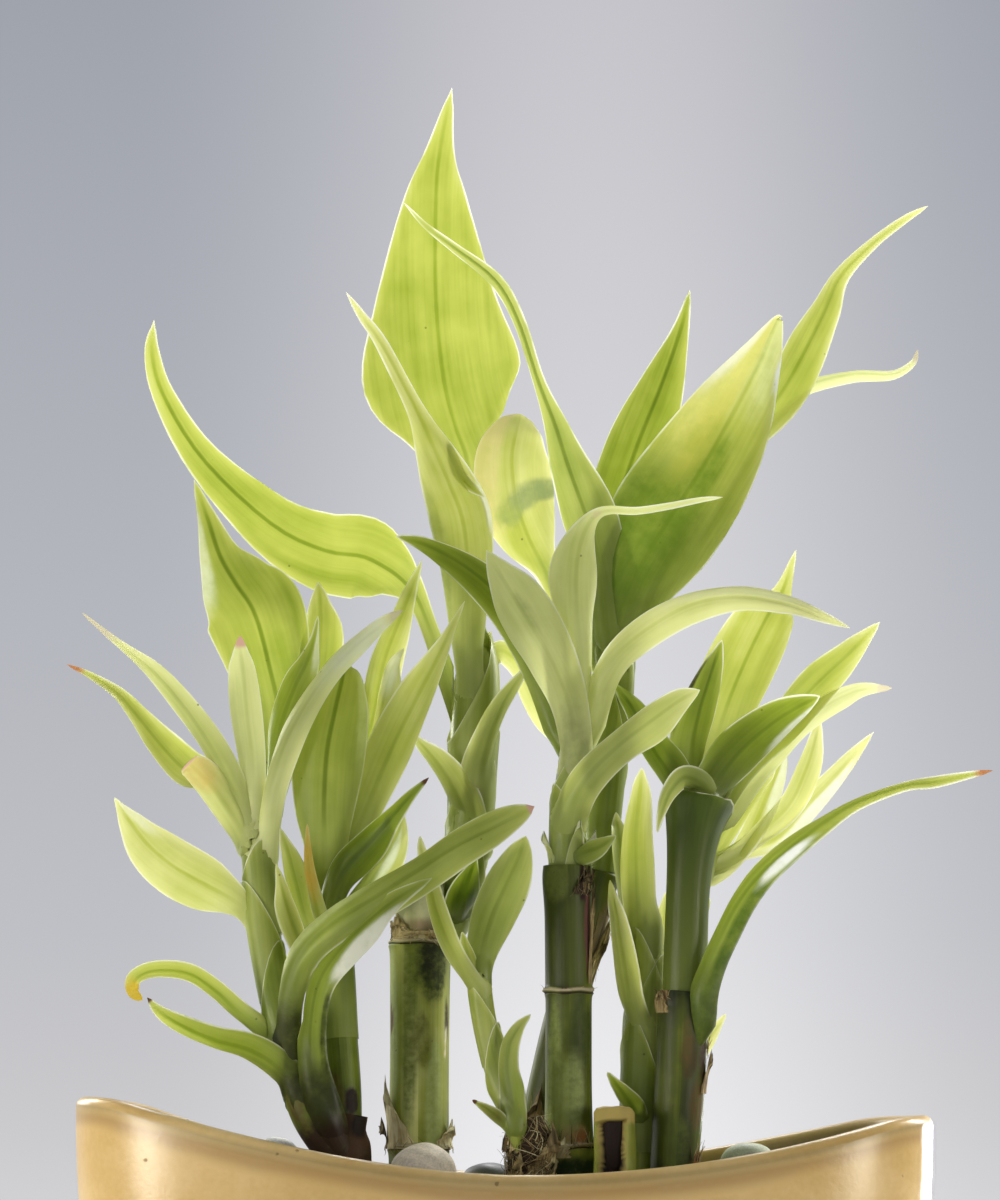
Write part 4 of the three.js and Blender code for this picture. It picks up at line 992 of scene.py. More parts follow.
@dataclass
class Cane:
    """A cut cane with its node rings, scars and the dry sheaths that are left on it."""

    name: str
    tube: Tube
    sheaths: Sequence[Sheath] = ()
    frayed: Sequence[Row] = ()  # height, number and length of torn fibres, and their middle and half angle

    def build(self, skin: Material, dry: Material) -> None:
        """Makes the cane and what is on it.

        Args:
            skin: the cane's material.
            dry: the material of its dead sheaths.
        """
        into = Growth()
        self.tube.grow(into)
        into.piece(self.name + "_skin", skin, [self.name])
        if self.sheaths or self.frayed:
            papery = Growth()
            for number, sheath in enumerate(self.sheaths):
                sheath.add(self.tube, number, papery)
            for tuft in self.frayed:
                self.add_fray(tuft, papery)
            papery.piece(self.name + "_dry_sheath", dry)

    def add_fray(self, tuft: Row, into: Growth) -> None:
        """Adds torn fibres that stand round a node ring.

        Args:
            tuft: the ring's height, how many fibres, their length, and the middle and half angle.
            into: where they go.
        """
        height, count, length, middle, half = tuft
        throw = random.Random(int(height * 10 + middle) + int(count))
        for _ in range(int(count)):
            angle = middle + throw.uniform(-half, half)
            drift = throw.uniform(-16, 16)
            tall = length * throw.uniform(0.3, 1.0) * throw.choice((1, 1, -0.5))
            s = np.linspace(0, 1, 6)
            off = 0.3 + throw.uniform(0.1, 1.1) * s ** 2
            line = self.tube.skin(height + tall * s, angle + drift * s ** 2, off)
            strand(line, throw.uniform(0.07, 0.17), throw.uniform(0.1, 0.8), into)


def strand(line: Array, thick: float, tone: float, into: Growth) -> None:
    """Adds a fine tapering fibre.

    Args:
        line: points along it, in millimetres.
        thick: its radius at the root.
        tone: how pale it is.
        into: where it goes.
    """
    direction = unit(np.gradient(line, axis=0))
    right = unit(np.cross(direction, np.array([0.31, 0.52, 0.8])))
    front = np.cross(right, direction)
    turn = np.linspace(0, FULL_TURN, 3, endpoint=False)
    size = thick * (1 - 0.75 * np.linspace(0, 1, len(line)))[:, None]
    points = turned(line[:, None], front[:, None], right[:, None], size, turn)
    into.grid(points, (tone, 0, 0, NO_EDGE), closed=True)


@dataclass
class RootCrown:
    """The woody crown that the sapling grows from, matted with dead sheaths and root fibre."""

    tube: Tube
    sheaths: int = 13
    ranges: tuple[Pair, ...] = (  # what the sheaths' first eight sizes lie between
        (-180, 180), (-4, 9), (9, 15), (30, 60), (0.6, 2.2), (-30, 30), (0.6, 1.1), (0.15, 0.75))
    fibres: int = 620
    lowest: float = -8.0  # mm up on the sighting plane, of the fibres
    highest: float = 20.4

    def build(self, bark: Material, dry: Material) -> None:
        """Makes the crown and its mat.

        Args:
            bark: the material of the wood.
            dry: the material of the sheaths and fibres.
        """
        into = Growth()
        self.tube.grow(into)
        into.piece("root_crown_wood", bark, ["root_crown"])
        throw = random.Random(5)
        mat = Growth()
        for number in range(self.sheaths):
            Sheath(*(throw.uniform(*ends) for ends in self.ranges), 0.5).add(self.tube, number, mat)
        for number in range(self.fibres):
            up, angle = throw.uniform(-6, 17), throw.uniform(-180, 180)
            s = np.linspace(0, 1, 8)
            rise, swing = throw.uniform(1, 10) * throw.choice((1, -1)), throw.gauss(0, 70)
            loose = throw.uniform(0.2, 1.5) if number % 5 else throw.uniform(1.5, 3.2)
            off = 0.3 + loose * (s ** 1.6) + 0.4 * np.sin(s * throw.uniform(3, 9) + number)
            up = up + rise * s + 0.5 * np.sin(s * throw.uniform(4, 9) + number)
            up = np.clip(up, self.lowest, self.highest)
            line = self.tube.skin(up, angle + swing * s + 5 * np.sin(s * 7 + number), off)
            strand(line, throw.uniform(0.06, 0.2), throw.uniform(0.0, 1.0) ** 1.4, mat)
        mat.piece("root_crown_fibres", dry)


@dataclass
class CutStump:
    """A short cane that has dried hollow: a golden cut rim, and a cavity that opens in front, painted near
    black as shade.
    """

    rows: Sequence[Row]
    window: Pair = (3.4, 26.0)  # mm below the rim
    window_middle: float = -13.0  # degrees
    window_half: float = 47.0
    back_wall: float = 1.4  # mm from the middle, of the hollow behind the window
    hollow: tuple[Pair, ...] = (  # mm below the rim, and share of its width
        (-0.2, 0.93), (0.1, 0.83), (1.2, 0.77), (4.0, 0.73), (9.0, 0.68), (14.0, 0.55), (15.5, 0.2))
    tone: float = 0.66
    dry_gold: str = "#AE9C58"
    # colour of the painted shade in the cavity
    window_dark: str = "#120A07"
    cut: str = "#DCC68C"
    # colour of the painted shade in the hollow
    hollow_dark: str = "#1E110A"
    sides: int = 132
    rings: int = 120

    def build(self, skin: Material) -> None:
        """Makes the stump.

        Args:
            skin: its material.
        """
        middle, right, front, up, radius = Tube(self.rows).frame_at(np.linspace(0, 1, self.rings))
        angle = np.linspace(0, FULL_TURN, self.sides, endpoint=False)
        turn, height = np.meshgrid(angle, up)
        degrees = (np.degrees(turn) - self.window_middle + 180) % 360 - 180
        below = up[-1] - height
        ragged = 2.5 * np.sin(height * 0.5 + 1) + 1.5 * np.sin(height * 1.1) * np.sign(degrees)
        opened = 1 - ease(self.window_half - 5, self.window_half + 4, np.abs(degrees) + ragged)
        top = self.window[0] + 0.25 * np.sin(turn * 3) - 0.012 * degrees
        opened = opened * ease(top - 0.5, top + 0.7, below)
        opened = opened * (1 - ease(self.window[1] - 2, self.window[1], below))
        outer = radius[:, None] + 0.12 * np.sin(turn * 3 + height * 0.3) + 0.06 * np.sin(turn * 9)
        outer = outer - 0.55 * (1 - ease(0.0, 1.4, below)) ** 2
        size = outer + (self.back_wall - outer) * opened
        walls = turned(middle[:, None], right[:, None], front[:, None], size, turn)
        inside = [middle[-1] + width * (walls[-1] - middle[-1]) - [0, 0, deep] for deep, width in self.hollow]
        points = np.concatenate([walls, inside])
        deep = np.concatenate([below[:, 0], [deep for deep, _ in self.hollow]])
        sawn = 0.25 * np.sin(angle * 2 + 1) + 0.05 * np.sin(angle * 7)
        points[..., 2] += sawn * ease(3, 0, deep)[:, None]
        stain = np.zeros(points.shape[:2] + (4,))
        # the opened window is painted near black, as shade in the cavity
        gold, dark = (np.array(linear(colour)[:3]) for colour in (self.dry_gold, self.window_dark))
        stain[:self.rings, :, :3] = gold + (dark - gold) * ease(0.25, 0.6, opened)[..., None]
        band = (1 - ease(2.4, 5.0, below)) * 0.95
        wound = ease(1.0, 0.0, np.abs(np.abs(degrees) - self.window_half) / 13) * (below > 2) * 0.4
        stain[:self.rings, :, 3] = np.maximum(np.maximum(band, wound), ease(0.2, 0.5, opened) * 2)
        stain[self.rings:self.rings + 2] = linear(self.cut, 1.5)
        # the hollow under the cut rim is painted dark, as shade
        stain[self.rings + 2:] = linear(self.hollow_dark, 1.5)
        uv = np.stack(np.meshgrid(np.linspace(0, 33, self.sides + 1), np.linspace(0, 60, len(points))), -1)
        into = Growth()
        into.grid(points, (self.tone, 0, 0, 0), stain, uv=uv, closed=True)
        into.piece("cut_stump_wood", skin, ["cut_stump"])


@dataclass
class Pot:
    """The oblong pot. Its rim dips in the middle of both long sides and sweeps up to the ends."""

    half_length: float = 105.0
    half_depth: float = 48.0
    power: float = 3.2
    dip: float = 75.0
    rise_left: float = 21.0
    rise_right: float = 16.0
    rise_power: float = 1.8
    level_from: float = 0.88
    level_over: float = 0.06
    twist: float = 2.6
    wall: float = 4.6
    lip: float = 2.3
    floor: float = 6.0
    foot_shrink: float = 0.85
    foot_tall: float = 3.9  # mm that the rounding of its foot takes
    foot_round: float = 3.0
    band_middle: float = 4.4  # mm from the rim down to the browner band of painted shade under the lip
    band_half: float = 2.6
    fill: str = "#4A453D"
    sides: int = 288

    def rim(self, x: Array, y: Array) -> Array:
        """The rim's height over places in the plan."""
        u = np.minimum(np.abs(x) / self.half_length, 1)
        past = np.maximum(u - self.level_from, 0)
        level = np.minimum(u, self.level_from) + self.level_over * (1 - np.exp(-past / self.level_over))
        rise = np.where(x < 0, self.rise_left, self.rise_right) * level ** self.rise_power
        return self.dip + rise + self.twist * np.sign(x) * u * (1 - u * u) * (y / self.half_depth)

    def plan_reach(self, x: float, y: float, inset: float) -> float:
        """How far out a place is: 1 on the plan's outline moved in by inset."""
        far_x, far_y = abs(x) / (self.half_length - inset), abs(y) / (self.half_depth - inset)
        return far_x ** self.power + far_y ** self.power

    def ring(self, inset: float, share: float, up: float) -> Array:
        """One ring of points round the pot, in millimetres.

        Args:
            inset: how far it is moved in from the outer face.
            share: how much of the rim's height it has.
            up: how far it is above that.

        Returns:
            Its points.
        """
        angle = np.linspace(0, FULL_TURN, self.sides, endpoint=False)
        px, py = (np.sign(c) * np.abs(c) ** (2 / self.power) for c in (np.cos(angle), np.sin(angle)))
        rim = self.rim(px * self.half_length, py * self.half_depth)
        z = share * rim + up
        swell = np.sin(math.pi / 2 * np.clip(z / rim, 0, 1)) ** 0.8
        swell = self.foot_shrink + (1 - self.foot_shrink) * swell
        return stack(px * (self.half_length * swell - inset), py * (self.half_depth * swell - inset), z)

    def add_fill(self, top: float, into: Growth) -> None:
        """Adds the packed gravel under the top stones.

        Args:
            top: its upper level, in millimetres.
            into: where it goes.
        """
        levels = ((8, self.floor + 0.5), (2, self.floor + 4), (1.2, 0.4 * top), (0.8, top))
        points = np.stack([self.ring(self.wall + gap, 0, up) for gap, up in levels])
        into.grid(points, (0.5, 0, 0, NO_EDGE), linear(self.fill, 0.3), closed=True)

    def build(self, glaze: Material) -> None:
        """Makes the pot.

        Args:
            glaze: its material.
        """
        foot, lip = self.foot_tall, self.lip
        rings = []  # inset, share of the rim's height, height over it, and 0 outside to 1 inside
        for turn in np.linspace(-math.pi / 2, 0, 8):
            rings.append((self.foot_round * (1 - math.cos(turn)), 0, foot * (1 + math.sin(turn)), 0.0))
        for part in np.linspace(0.08, 0.97, 30):
            rings.append((0.0, part, foot - part * (lip + foot), 0.0))
        for turn in np.linspace(0, math.pi, 15):
            rings.append((lip * (1 - math.cos(turn)), 1, -lip * (1 - math.sin(turn)), 0.5))
        for part in np.linspace(0.95, 0.12, 12):
            rings.append((self.wall, part, -part * lip, 1.0))
        rings += [(self.wall + 2, 0, self.floor + 2, 1.0), (self.wall + 6, 0, self.floor, 1.0)]
        points = np.stack([self.ring(*ring[:3]) for ring in rings])
        crest = points[-20]  # just inside the top of the lip
        below = self.rim(crest[:, 0], crest[:, 1])[None] - points[..., 2]
        place = np.array([ring[3] for ring in rings])[:, None]
        outside = place < 0.5
        # painted shade under the lip and on the inner wall, and the bare clay foot
        growth = stack(np.exp(-((below - self.band_middle) / self.band_half) ** 2) * outside,
                       ease(0.4, 0.6, place) * ease(0.2, 2.0, below),
                       outside * (1 - ease(1.2, 2.6, points[..., 2])), 0)
        into = Growth()
        into.grid(points, growth, closed=True)
        into.piece("pot_glazed", glaze, ["pot"])


def ball(divisions: int) -> tuple[Array, Array]:
    """A round ball of even triangles.

    Args:
        divisions: how many times its faces are divided.

    Returns:
        Its points, at radius 1, and its faces.
    """
    made = bmesh.new()
    bmesh.ops.create_icosphere(made, subdivisions=divisions, radius=1)
    points = np.array([v.co for v in made.verts])
    faces = np.array([[v.index for v in f.verts] for f in made.faces])
    made.free()
    return points, faces


@dataclass
class PebbleBed:
    """River pebbles that fill the pot, and the loose stones that lie on them."""

    pot: Pot
    top: float = 68.5
    pitch: float = 22.0
    row_pitch: float = 0.86 * 22.0
    jitter: float = 4.0
    margin: float = 14.0
    shrink: float = 0.86  # of a big stone's plan, to leave gaps for the small ones
    small: int = 300
    colours: Colours = ("#8E8A82", "#B7B3AA", "#6F6B66", "#A3937C", "#C9C2B2", "#7F7464", "#9AA08F",
                                "#B59F8B", "#5C5955", "#DAD5C8")
    # Each loose stone's centre, half sizes, slot, colour, and how much its bands show.
    loose: tuple[tuple[str, Row, str, str, float], ...] = (
        ("grey_arched", (-20, -12, 73.8, 8.6, 5.6, 8.8), "grey", "#E8DCC8", 0.45),
        ("white", (-56, -2, 78, 6, 4.8, 5.4), "pale", "#EFEDE8", 0.1),
        ("pale_green", (61, 12, 77.2, 7.2, 5.6, 5.2), "pale", "#C9D0B4", 0.2),
        ("brown", (76, -16, 73.6, 7.4, 6, 4.2), "brown", "#8A7358", 0.4),
        ("cream", (-76, 14, 74, 7, 5.6, 4.4), "pale", "#D9CDB2", 0.2),
        ("dark_grey", (-4, 30, 73.4, 6.8, 5.4, 4), "grey", "#67686B", 0.5),
        ("rose", (-62, -24, 73.2, 6.4, 5.4, 4), "brown", "#B7958A", 0.3),
        ("sandy", (56, -27, 73.2, 6.8, 5, 4), "brown", "#C6B28D", 0.4))

    def stone(self, sizes: Row, seed: int, point: Array, rough: float = 0.03) -> Array:
        """Points of one water-worn stone, dented as the part's own is.

        Args:
            sizes: its centre and its half sizes, in millimetres.
            seed: what its dents come from.
            point: the points of the ball that it is worn from.
            rough: how uneven its skin is.

        Returns:
            The points, in millimetres.
        """
        swell_a, swell_b, phase, spin = islice(dice(seed), 4)
        phase, spin = phase * 6.28, (spin - 0.5) * 0.8
        worn = 1 - 0.065 * swell_a * np.sin(3 * point[:, 0] + phase)
        worn = worn - 0.065 * swell_b * np.sin(4 * point[:, 1] + 2 * phase)
        worn = worn - rough * np.sin(5.1 * point[:, 0] + 3 * phase) * np.sin(4.3 * point[:, 1] + phase)
        worn = worn - 0.5 * rough * np.sin(7.7 * point[:, 2] + 5 * phase)
        shaped = point * np.array(sizes[3:]) * worn[:, None]
        c, s = math.cos(spin), math.sin(spin)
        return shaped @ np.array([[c, s, 0], [-s, c, 0], [0, 0, 1]]) + np.array(sizes[:3])

    def big_stones(self) -> list[Row]:
        """Centres and half sizes of the half-sunk stones, laid by the part's own jittered grid."""
        throw = dice(7)
        stones = []
        rows = int(2 * self.pot.half_depth / self.row_pitch)
        columns = int(2 * self.pot.half_length / self.pitch)
        for row in range(rows + 1):
            for column in range(columns + 1):
                a, b, c, d = islice(throw, 4)
                x = (column + (0.5 if row % 2 else 0) - columns / 2) * self.pitch + (a - 0.5) * self.jitter
                y = (row - rows / 2) * self.row_pitch + (b - 0.5) * self.jitter
                if self.pot.plan_reach(x, y, self.margin) < 1:
                    z = self.top - 1.6 + 1.2 * d
                    stones.append((x, y, z, 12 + 2 * c, 10.2 + 2 * d, 5.4 + 1.2 * c))
        return stones

    def build(self, skin: Material) -> None:
        """Makes the bed and the loose stones.

        Args:
            skin: the stones' material.
        """
        into = Growth()
        throw = random.Random(11)
        coarse, fine, smooth = ball(2), ball(3), ball(5)
        for i, sizes in enumerate(self.big_stones()):
            tint = linear(throw.choice(self.colours), throw.uniform(0, 0.6))
            sizes = (*sizes[:3], sizes[3] * self.shrink, sizes[4] * self.shrink, sizes[5])
            into.shell(self.stone(sizes, 100 + i, fine[0]), fine[1], tint)
        for i in range(self.small):
            x, y, size = throw.uniform(-97, 97), throw.uniform(-41, 41), throw.uniform(2.6, 4.6)
            if self.pot.plan_reach(x, y, 8.5 + size) > 1:
                continue
            tint = linear(throw.choice(self.colours), throw.uniform(0, 0.5))
            sizes = (x, y, self.top + throw.uniform(-1.0, 0.8), size * 1.25, size, size * 0.8)
            into.shell(self.stone(sizes, 500 + i, coarse[0]), coarse[1], tint)
        self.pot.add_fill(self.top - 1.5, into)
        into.piece("pebble_bed", skin, ["gravel_bed"])
        for i, (name, sizes, slot, colour, bands) in enumerate(self.loose):
            alone = Growth()
            alone.shell(self.stone(sizes, 40 + i, smooth[0], 0.02), smooth[1], linear(colour, bands))
            alone.piece("pebble_" + name, skin, ["stone_" + name])


# The plant

CANE_LEFT = [(-38, -22, -4, 5.4), (-38, -4, -4, 5.6), (-38, 12, -4, 5.8), (-38, 17, -4, 4.6),
             (-37.2, 21.5, -4, 4.2)]
CANE_B = [(-20.3, -22, 8, 7.4), (-20.3, -5, 8, 7.5), (-20.3, 10, 8, 7.6), (-20.3, 13, 8, 8.2),
          (-20.3, 16, 8, 7.7), (-20.2, 32, 8, 7.5), (-20.1, 50, 8, 7.6), (-20, 61, 8, 7.8),
          (-20, 64, 8, 8.1), (-20, 66, 8, 6.8), (-20, 74, 8, 6.2), (-19.8, 80, 8, 6.1)]
CANE_C = [(17.6, -22, 0, 6.2), (17.6, 0, 0, 6.4), (17.4, 10, 0, 6.5), (17.3, 13, 0, 6.9), (17.2, 16, 0, 6.1),
          (17.2, 32, 0, 5.7), (17.2, 49, 0, 5.7), (17.2, 52, 0, 6.3), (17.2, 54, 0, 5.8), (17, 70, 0, 5.8),
          (16.8, 80, 0, 6.2), (16.8, 83.5, 0, 6)]
CANE_D = [(7.2, -22, 14, 5), (8.2, 0, 14, 5), (10, 18, 14, 4.9), (13.5, 36, 14, 4.7), (17.5, 52, 14, 4.7),
          (21.5, 68, 14, 4.9), (25, 82, 14, 5.1)]
CANE_E = [(43.4, -22, 0, 6.4), (43.4, 0, 0, 6), (43.8, 12, 0, 6.1), (44.9, 28, 0, 6.4), (45.6, 44, 0, 6.4),
          (45.8, 49, 0, 6.9), (46, 52, 0, 6.4)]
STUMP = [(28.6, -22, -10, 5.2), (28.6, 5, -10, 5.2), (28.6, 23, -10, 5)]
CROWN = [(6.6, -22, -11, 2.6), (6.8, -4, -11, 3), (7, 6, -11, 4.2), (7.4, 12, -11, 5), (7.2, 17, -11, 4.4),
         (6.6, 20.5, -11, 3.2)]
LEFT_STEMS = [
    [(-38.5, 8, -5, 4.6), (-42.5, 14, -6, 5.6), (-47.5, 21, -7, 5.2), (-51.2, 30, -7, 4.6),
     (-54.3, 42, -6, 4.5), (-57.2, 55, -4, 4.3), (-59.2, 70, -1, 4.7), (-60.5, 86, 0, 4.7),
     (-62, 98, 0, 3.8), (-63, 104, 1, 2.8)],
    [(-38.5, 10, -6, 4), (-43, 19, -9, 4.2), (-46.5, 30, -11, 3.7), (-47.3, 42, -12, 3.2)],
    [(-38.5, 10, -3, 4.4), (-39, 26, 0, 5), (-40.2, 42, 2, 5.2), (-41, 58, 4, 4.9), (-42.5, 74, 4, 4.4),
     (-43.5, 86, 2, 3.4)],
]
# Near-white marks on these leaves are painted highlights, and the dark olive marks at the bases of leaves 18,
# 19 and 21 (counted from 0) are painted shade.
LEFT_LEAVES = [
    Leaf([(-60, 78, 3, 6), (-58, 98, 8, 9), (-55, 118, 10, 14), (-58, 135, 10, 22), (-61.5, 147, 9, 25.5),
        (-66, 154, 8, 19), (-70, 161, 8, 11), (-73, 170, 7, 5.5), (-76.5, 180, 7, 0.8)], (0, 0), (0.35, 0.6),
        -0.2, midrib=1, marks=(Mark(0.75, -0.9, 0.2, 0.5, "#E9EFC4", 0.6),)),
    Leaf([(-60.5, 84, 0, 7), (-61.5, 98, -4, 6.6), (-62, 110, -5, 7), (-63.3, 122, -6, 8),
        (-64.2, 132, -6, 7), (-64.8, 137, -6, 4), (-65, 141, -6, 0.8)], (15, -25), (0.7, 0.95), 0.45,
        sage=0.9, tip=Tip.PINK, dried=0.14),
    Leaf([(-61, 80, 0, 7), (-63, 93, -3, 7), (-67.9, 104.7, -6, 7), (-73.6, 115.3, -9, 6.4),
        (-80.2, 124.5, -12, 5.6), (-86.6, 131.7, -14, 4.4), (-92.9, 137, -16, 2.6), (-98.2, 141.5, -18, 1.5),
        (-104.5, 146.8, -20, 0.5)], (10, 50), (0.55, 0.85), 0.45, sage=0.6, tip=Tip.STRAW, dried=0.2),
    Leaf([(-61.5, 84, 2, 7), (-67, 98, 6, 8), (-73, 104.5, 9, 9.4), (-79, 107.8, 11, 9.2),
        (-85, 114, 12, 7.6), (-90.3, 120.5, 13, 5.2), (-95.5, 126.4, 14, 3.4), (-102.1, 131, 15, 1.9),
        (-108.3, 133.9, 16, 0.5)], (-20, -45), (0.45, 0.7), -0.3, tip=Tip.ORANGE, dried=0.1),
    Leaf([(-61.5, 84, 0, 7), (-65, 93, -3, 8), (-71, 102, -5, 8.6), (-76, 107.5, -6, 7.4),
        (-78, 109.4, -6, 5)], (0, 30), (0.7, 0.9), 0.35, sage=0.3, tip=Tip.PINK, dried=0.07,
        marks=(Mark(0.8, 0, 0.35, 1.4, "#DDBB66", 0.55),)),
    Leaf([(-59.5, 64, 0, 6), (-62.5, 70.5, -2, 6.5), (-66.6, 74.8, -4, 9), (-73.2, 78.6, -6, 13.4),
        (-81, 83, -8, 14), (-87.6, 88.4, -9, 11.6), (-92.2, 94.2, -9, 6.5), (-94.8, 98, -9, 2.6),
        (-96.4, 100.6, -9, 0.5)], (10, -15), (0.6, 0.95), 0.2, midrib=0.4,
        marks=(Mark(0.85, 0.6, 0.25, 0.5, "#EFF3C8", 0.6),)),
    Leaf([(-59.8, 78, -1, 6.5), (-59.5, 90, -4, 6), (-57.5, 103, -7, 6), (-53.5, 115, -8, 6.2),
        (-48, 125, -9, 6), (-42, 133, -10, 5.2), (-36, 139, -10, 4.6), (-29, 144.5, -10, 3.2),
        (-24.3, 147.5, -10, 0.6)], (30, 60), (0.7, 0.95), 0.4, sage=0.9, tip=Tip.STRAW,
        marks=(Mark(0.8, 0, 0.3, 1.4, "#EEF0DA", 0.6),)),
    Leaf([(-60, 88, 1, 5), (-57, 106, 0, 6), (-55, 118, -1, 8.5), (-51.5, 128, -1, 9), (-48.5, 134, -2, 6),
        (-46.5, 140, -2, 2.5), (-45.5, 146, -2, 0.6)], (40, 20), (0.3, 0.5), 0.35,
        marks=(Mark(0.8, 0.7, 0.2, 0.5, "#EEF2D2", 0.7),)),
    Leaf([(-43, 80, 4, 6), (-47, 100, 8, 7), (-47, 115, 10, 8), (-46, 130, 12, 11), (-45, 142, 12, 10),
        (-45, 150, 12, 5), (-45.5, 154.5, 12, 0.6)], (-20, -35), (0.4, 0.65), -0.3),
    Leaf([(-43, 72, 0, 8), (-43.5, 86, -4, 12), (-44, 98, -6, 16), (-43.3, 112, -7, 18.4),
        (-41.2, 123, -7, 16.5), (-39.8, 129, -6, 12), (-39, 133, -5, 7), (-38.4, 134.5, -4, 1)], (0, 15),
        (0.36, 0.66), 0.35, midrib=1, marks=(Mark(0.93, -0.5, 0.05, 0.8, "#F2F5DC", 0.8),
        Mark(0.6, 0.9, 0.3, 0.3, "#DCE59A", 0.5))),
    Leaf([(-42.5, 74, 3, 6), (-37, 88, 0, 8), (-32, 101, -1, 10), (-26.5, 114, -2, 11.4),
        (-20.5, 126, -2, 9.4), (-16.3, 134, -2, 6), (-12.6, 142, -2, 2.6), (-8.8, 149.8, -2, 0.5)],
        (-10, -30), (0.55, 0.85), 0.35),
    Leaf([(-43, 80, 4, 6), (-37, 104, 7, 8), (-32, 120, 8, 9), (-29, 135, 9, 8), (-24, 148, 9, 5),
        (-19.5, 160, 9, 0.6)], (-30, -50), (0.5, 0.75), -0.25),
    Leaf([(-42.5, 78, 2, 5), (-35, 96, 3, 5), (-32, 110, 4, 6), (-29.5, 124, 4, 6), (-27, 133, 4, 3.6),
        (-24, 138, 3, 0.6)], (45, 60), (0.65, 0.95), 0.4, marks=(Mark(0.8, 0, 0.2, 1, "#F0F3DA", 0.6),)),
    Leaf([(-42.5, 66, -1, 7), (-41.3, 76, -5, 7.5), (-38.3, 83, -7, 8.8), (-32.4, 89.5, -8, 8.2),
        (-27.1, 95.8, -9, 5), (-22.5, 101, -9, 2.8), (-17.8, 105.6, -9, 0.6)], (-15, 50), (0.1, 0.25), 0.45,
        tip=Tip.BROWN, dried=0.07),
    Leaf([(-42, 62, 0, 6), (-37.5, 73, -4, 7), (-32, 80, -6, 7.5), (-27.5, 87, -6, 6.5), (-25, 93, -6, 3.5),
        (-24.6, 98, -6, 0.6)], (20, 55), (0.3, 0.6), 0.5, sage=0.3,
        marks=(Mark(0.6, 0.2, 0.25, 0.35, "#E4ECC6", 0.7),)),
    Leaf([(-43, 62, 1, 4.6), (-45.6, 72, -6, 3.8), (-47.8, 83, -8, 2.6), (-48.2, 94, -8, 0.6)], (20, 30),
        (0.6, 0.8), 0.4, marks=(Mark(0.75, 0, 0.4, 1.6, "#DDB84A", 0.7),)),
    Leaf([(-44, 50, 1, 5), (-49, 62, -6, 5), (-53, 73, -8, 5), (-56, 84, -8, 0.6)], (-30, -45), (0.5, 0.8),
        0.4),
    Leaf([(-43, 56, 3, 6), (-48, 68, -1, 6), (-51, 79, -4, 6.5), (-53, 87, -5, 4), (-55, 93, -5, 0.6)],
        (35, 45), (0.45, 0.75), 0.4),
    Leaf([(-51, 28, -9, 7), (-54, 40, -12, 6.6), (-53.2, 52, -15, 7.2), (-49.4, 61.8, -18, 8.2),
        (-41.6, 69.4, -21, 8.8), (-31, 76, -24, 9), (-20.5, 82.6, -26, 9), (-11.3, 88.4, -28, 9.2),
        (-2.1, 93, -29, 8.4), (4.5, 96.3, -30, 5.4), (8.6, 98.4, -30, 1)], (25, 40), (0.3, 0.6), 0.42,
        spread=0.3, sage=0.2, tip=Tip.PINK, dried=0.05, marks=(Mark(0.35, -0.8, 0.16, 0.5, "#DCE6A0", 0.6),
        Mark(0, 0, 0.22, 3, "#40461A", 0.9))),
    Leaf([(-40, 12, -9, 5), (-44.2, 21.8, -12, 6), (-47.2, 33, -14, 6), (-47.4, 44.2, -16, 6),
        (-45.3, 54.7, -18.5, 6.4), (-39.8, 63.1, -21, 7), (-32.4, 70.3, -24, 6.4), (-25.5, 75.5, -26, 4.4),
        (-17, 80.5, -27, 1)], (40, 60), (0.15, 0.45), 0.42, spread=0.3, sage=0.1,
        marks=(Mark(0.7, 0.75, 0.2, 0.55, "#F2F4E4", 0.95), Mark(0, 0, 0.32, 3, "#39401A", 0.85),
        Mark(0, 0, 0.12, 3, "#33241A", 0.95), Mark(0.35, 0.85, 0.2, 0.3, "#323C14", 0.7))),
    Leaf([(-53, 36, -4, 6), (-59.3, 41.5, -8, 5.5), (-65.3, 46.6, -11, 5), (-71.5, 52.4, -12, 4.4),
        (-78, 56.5, -13, 4.2), (-86, 57.2, -14, 4), (-91, 55.2, -14, 3.8), (-91.6, 52, -13, 3),
        (-89.4, 50, -12, 1.2)], (25, 55), (0.35, 0.6), 0.4, spread=0.5, tip=Tip.YELLOW, dried=0.26),
    Leaf([(-45, 20, -7, 7), (-50, 27, -9, 8), (-56, 33.5, -11, 7.6), (-63, 37.6, -13, 6.6),
        (-71, 39.8, -15, 5.6), (-79, 43.2, -16, 4.6), (-85, 47, -16, 3), (-88.2, 50.6, -15, 0.6)], (15, 40),
        (0.25, 0.5), 0.45, spread=0.5, tip=Tip.BROWN, dried=0.05,
        marks=(Mark(0.7, -0.6, 0.2, 0.5, "#C9D66A", 0.5), Mark(0, 0, 0.3, 3, "#3D421A", 0.85))),
]
B_STEMS = [
    [(-15, 62, 16, 4), (-10.5, 76, 15.5, 5.4), (-7.4, 94, 14, 5.6), (-6.8, 110, 13, 5.9), (-6.3, 122, 13, 6),
     (-5.8, 133, 13, 5.2), (-6.4, 142, 13, 3.6)],
]
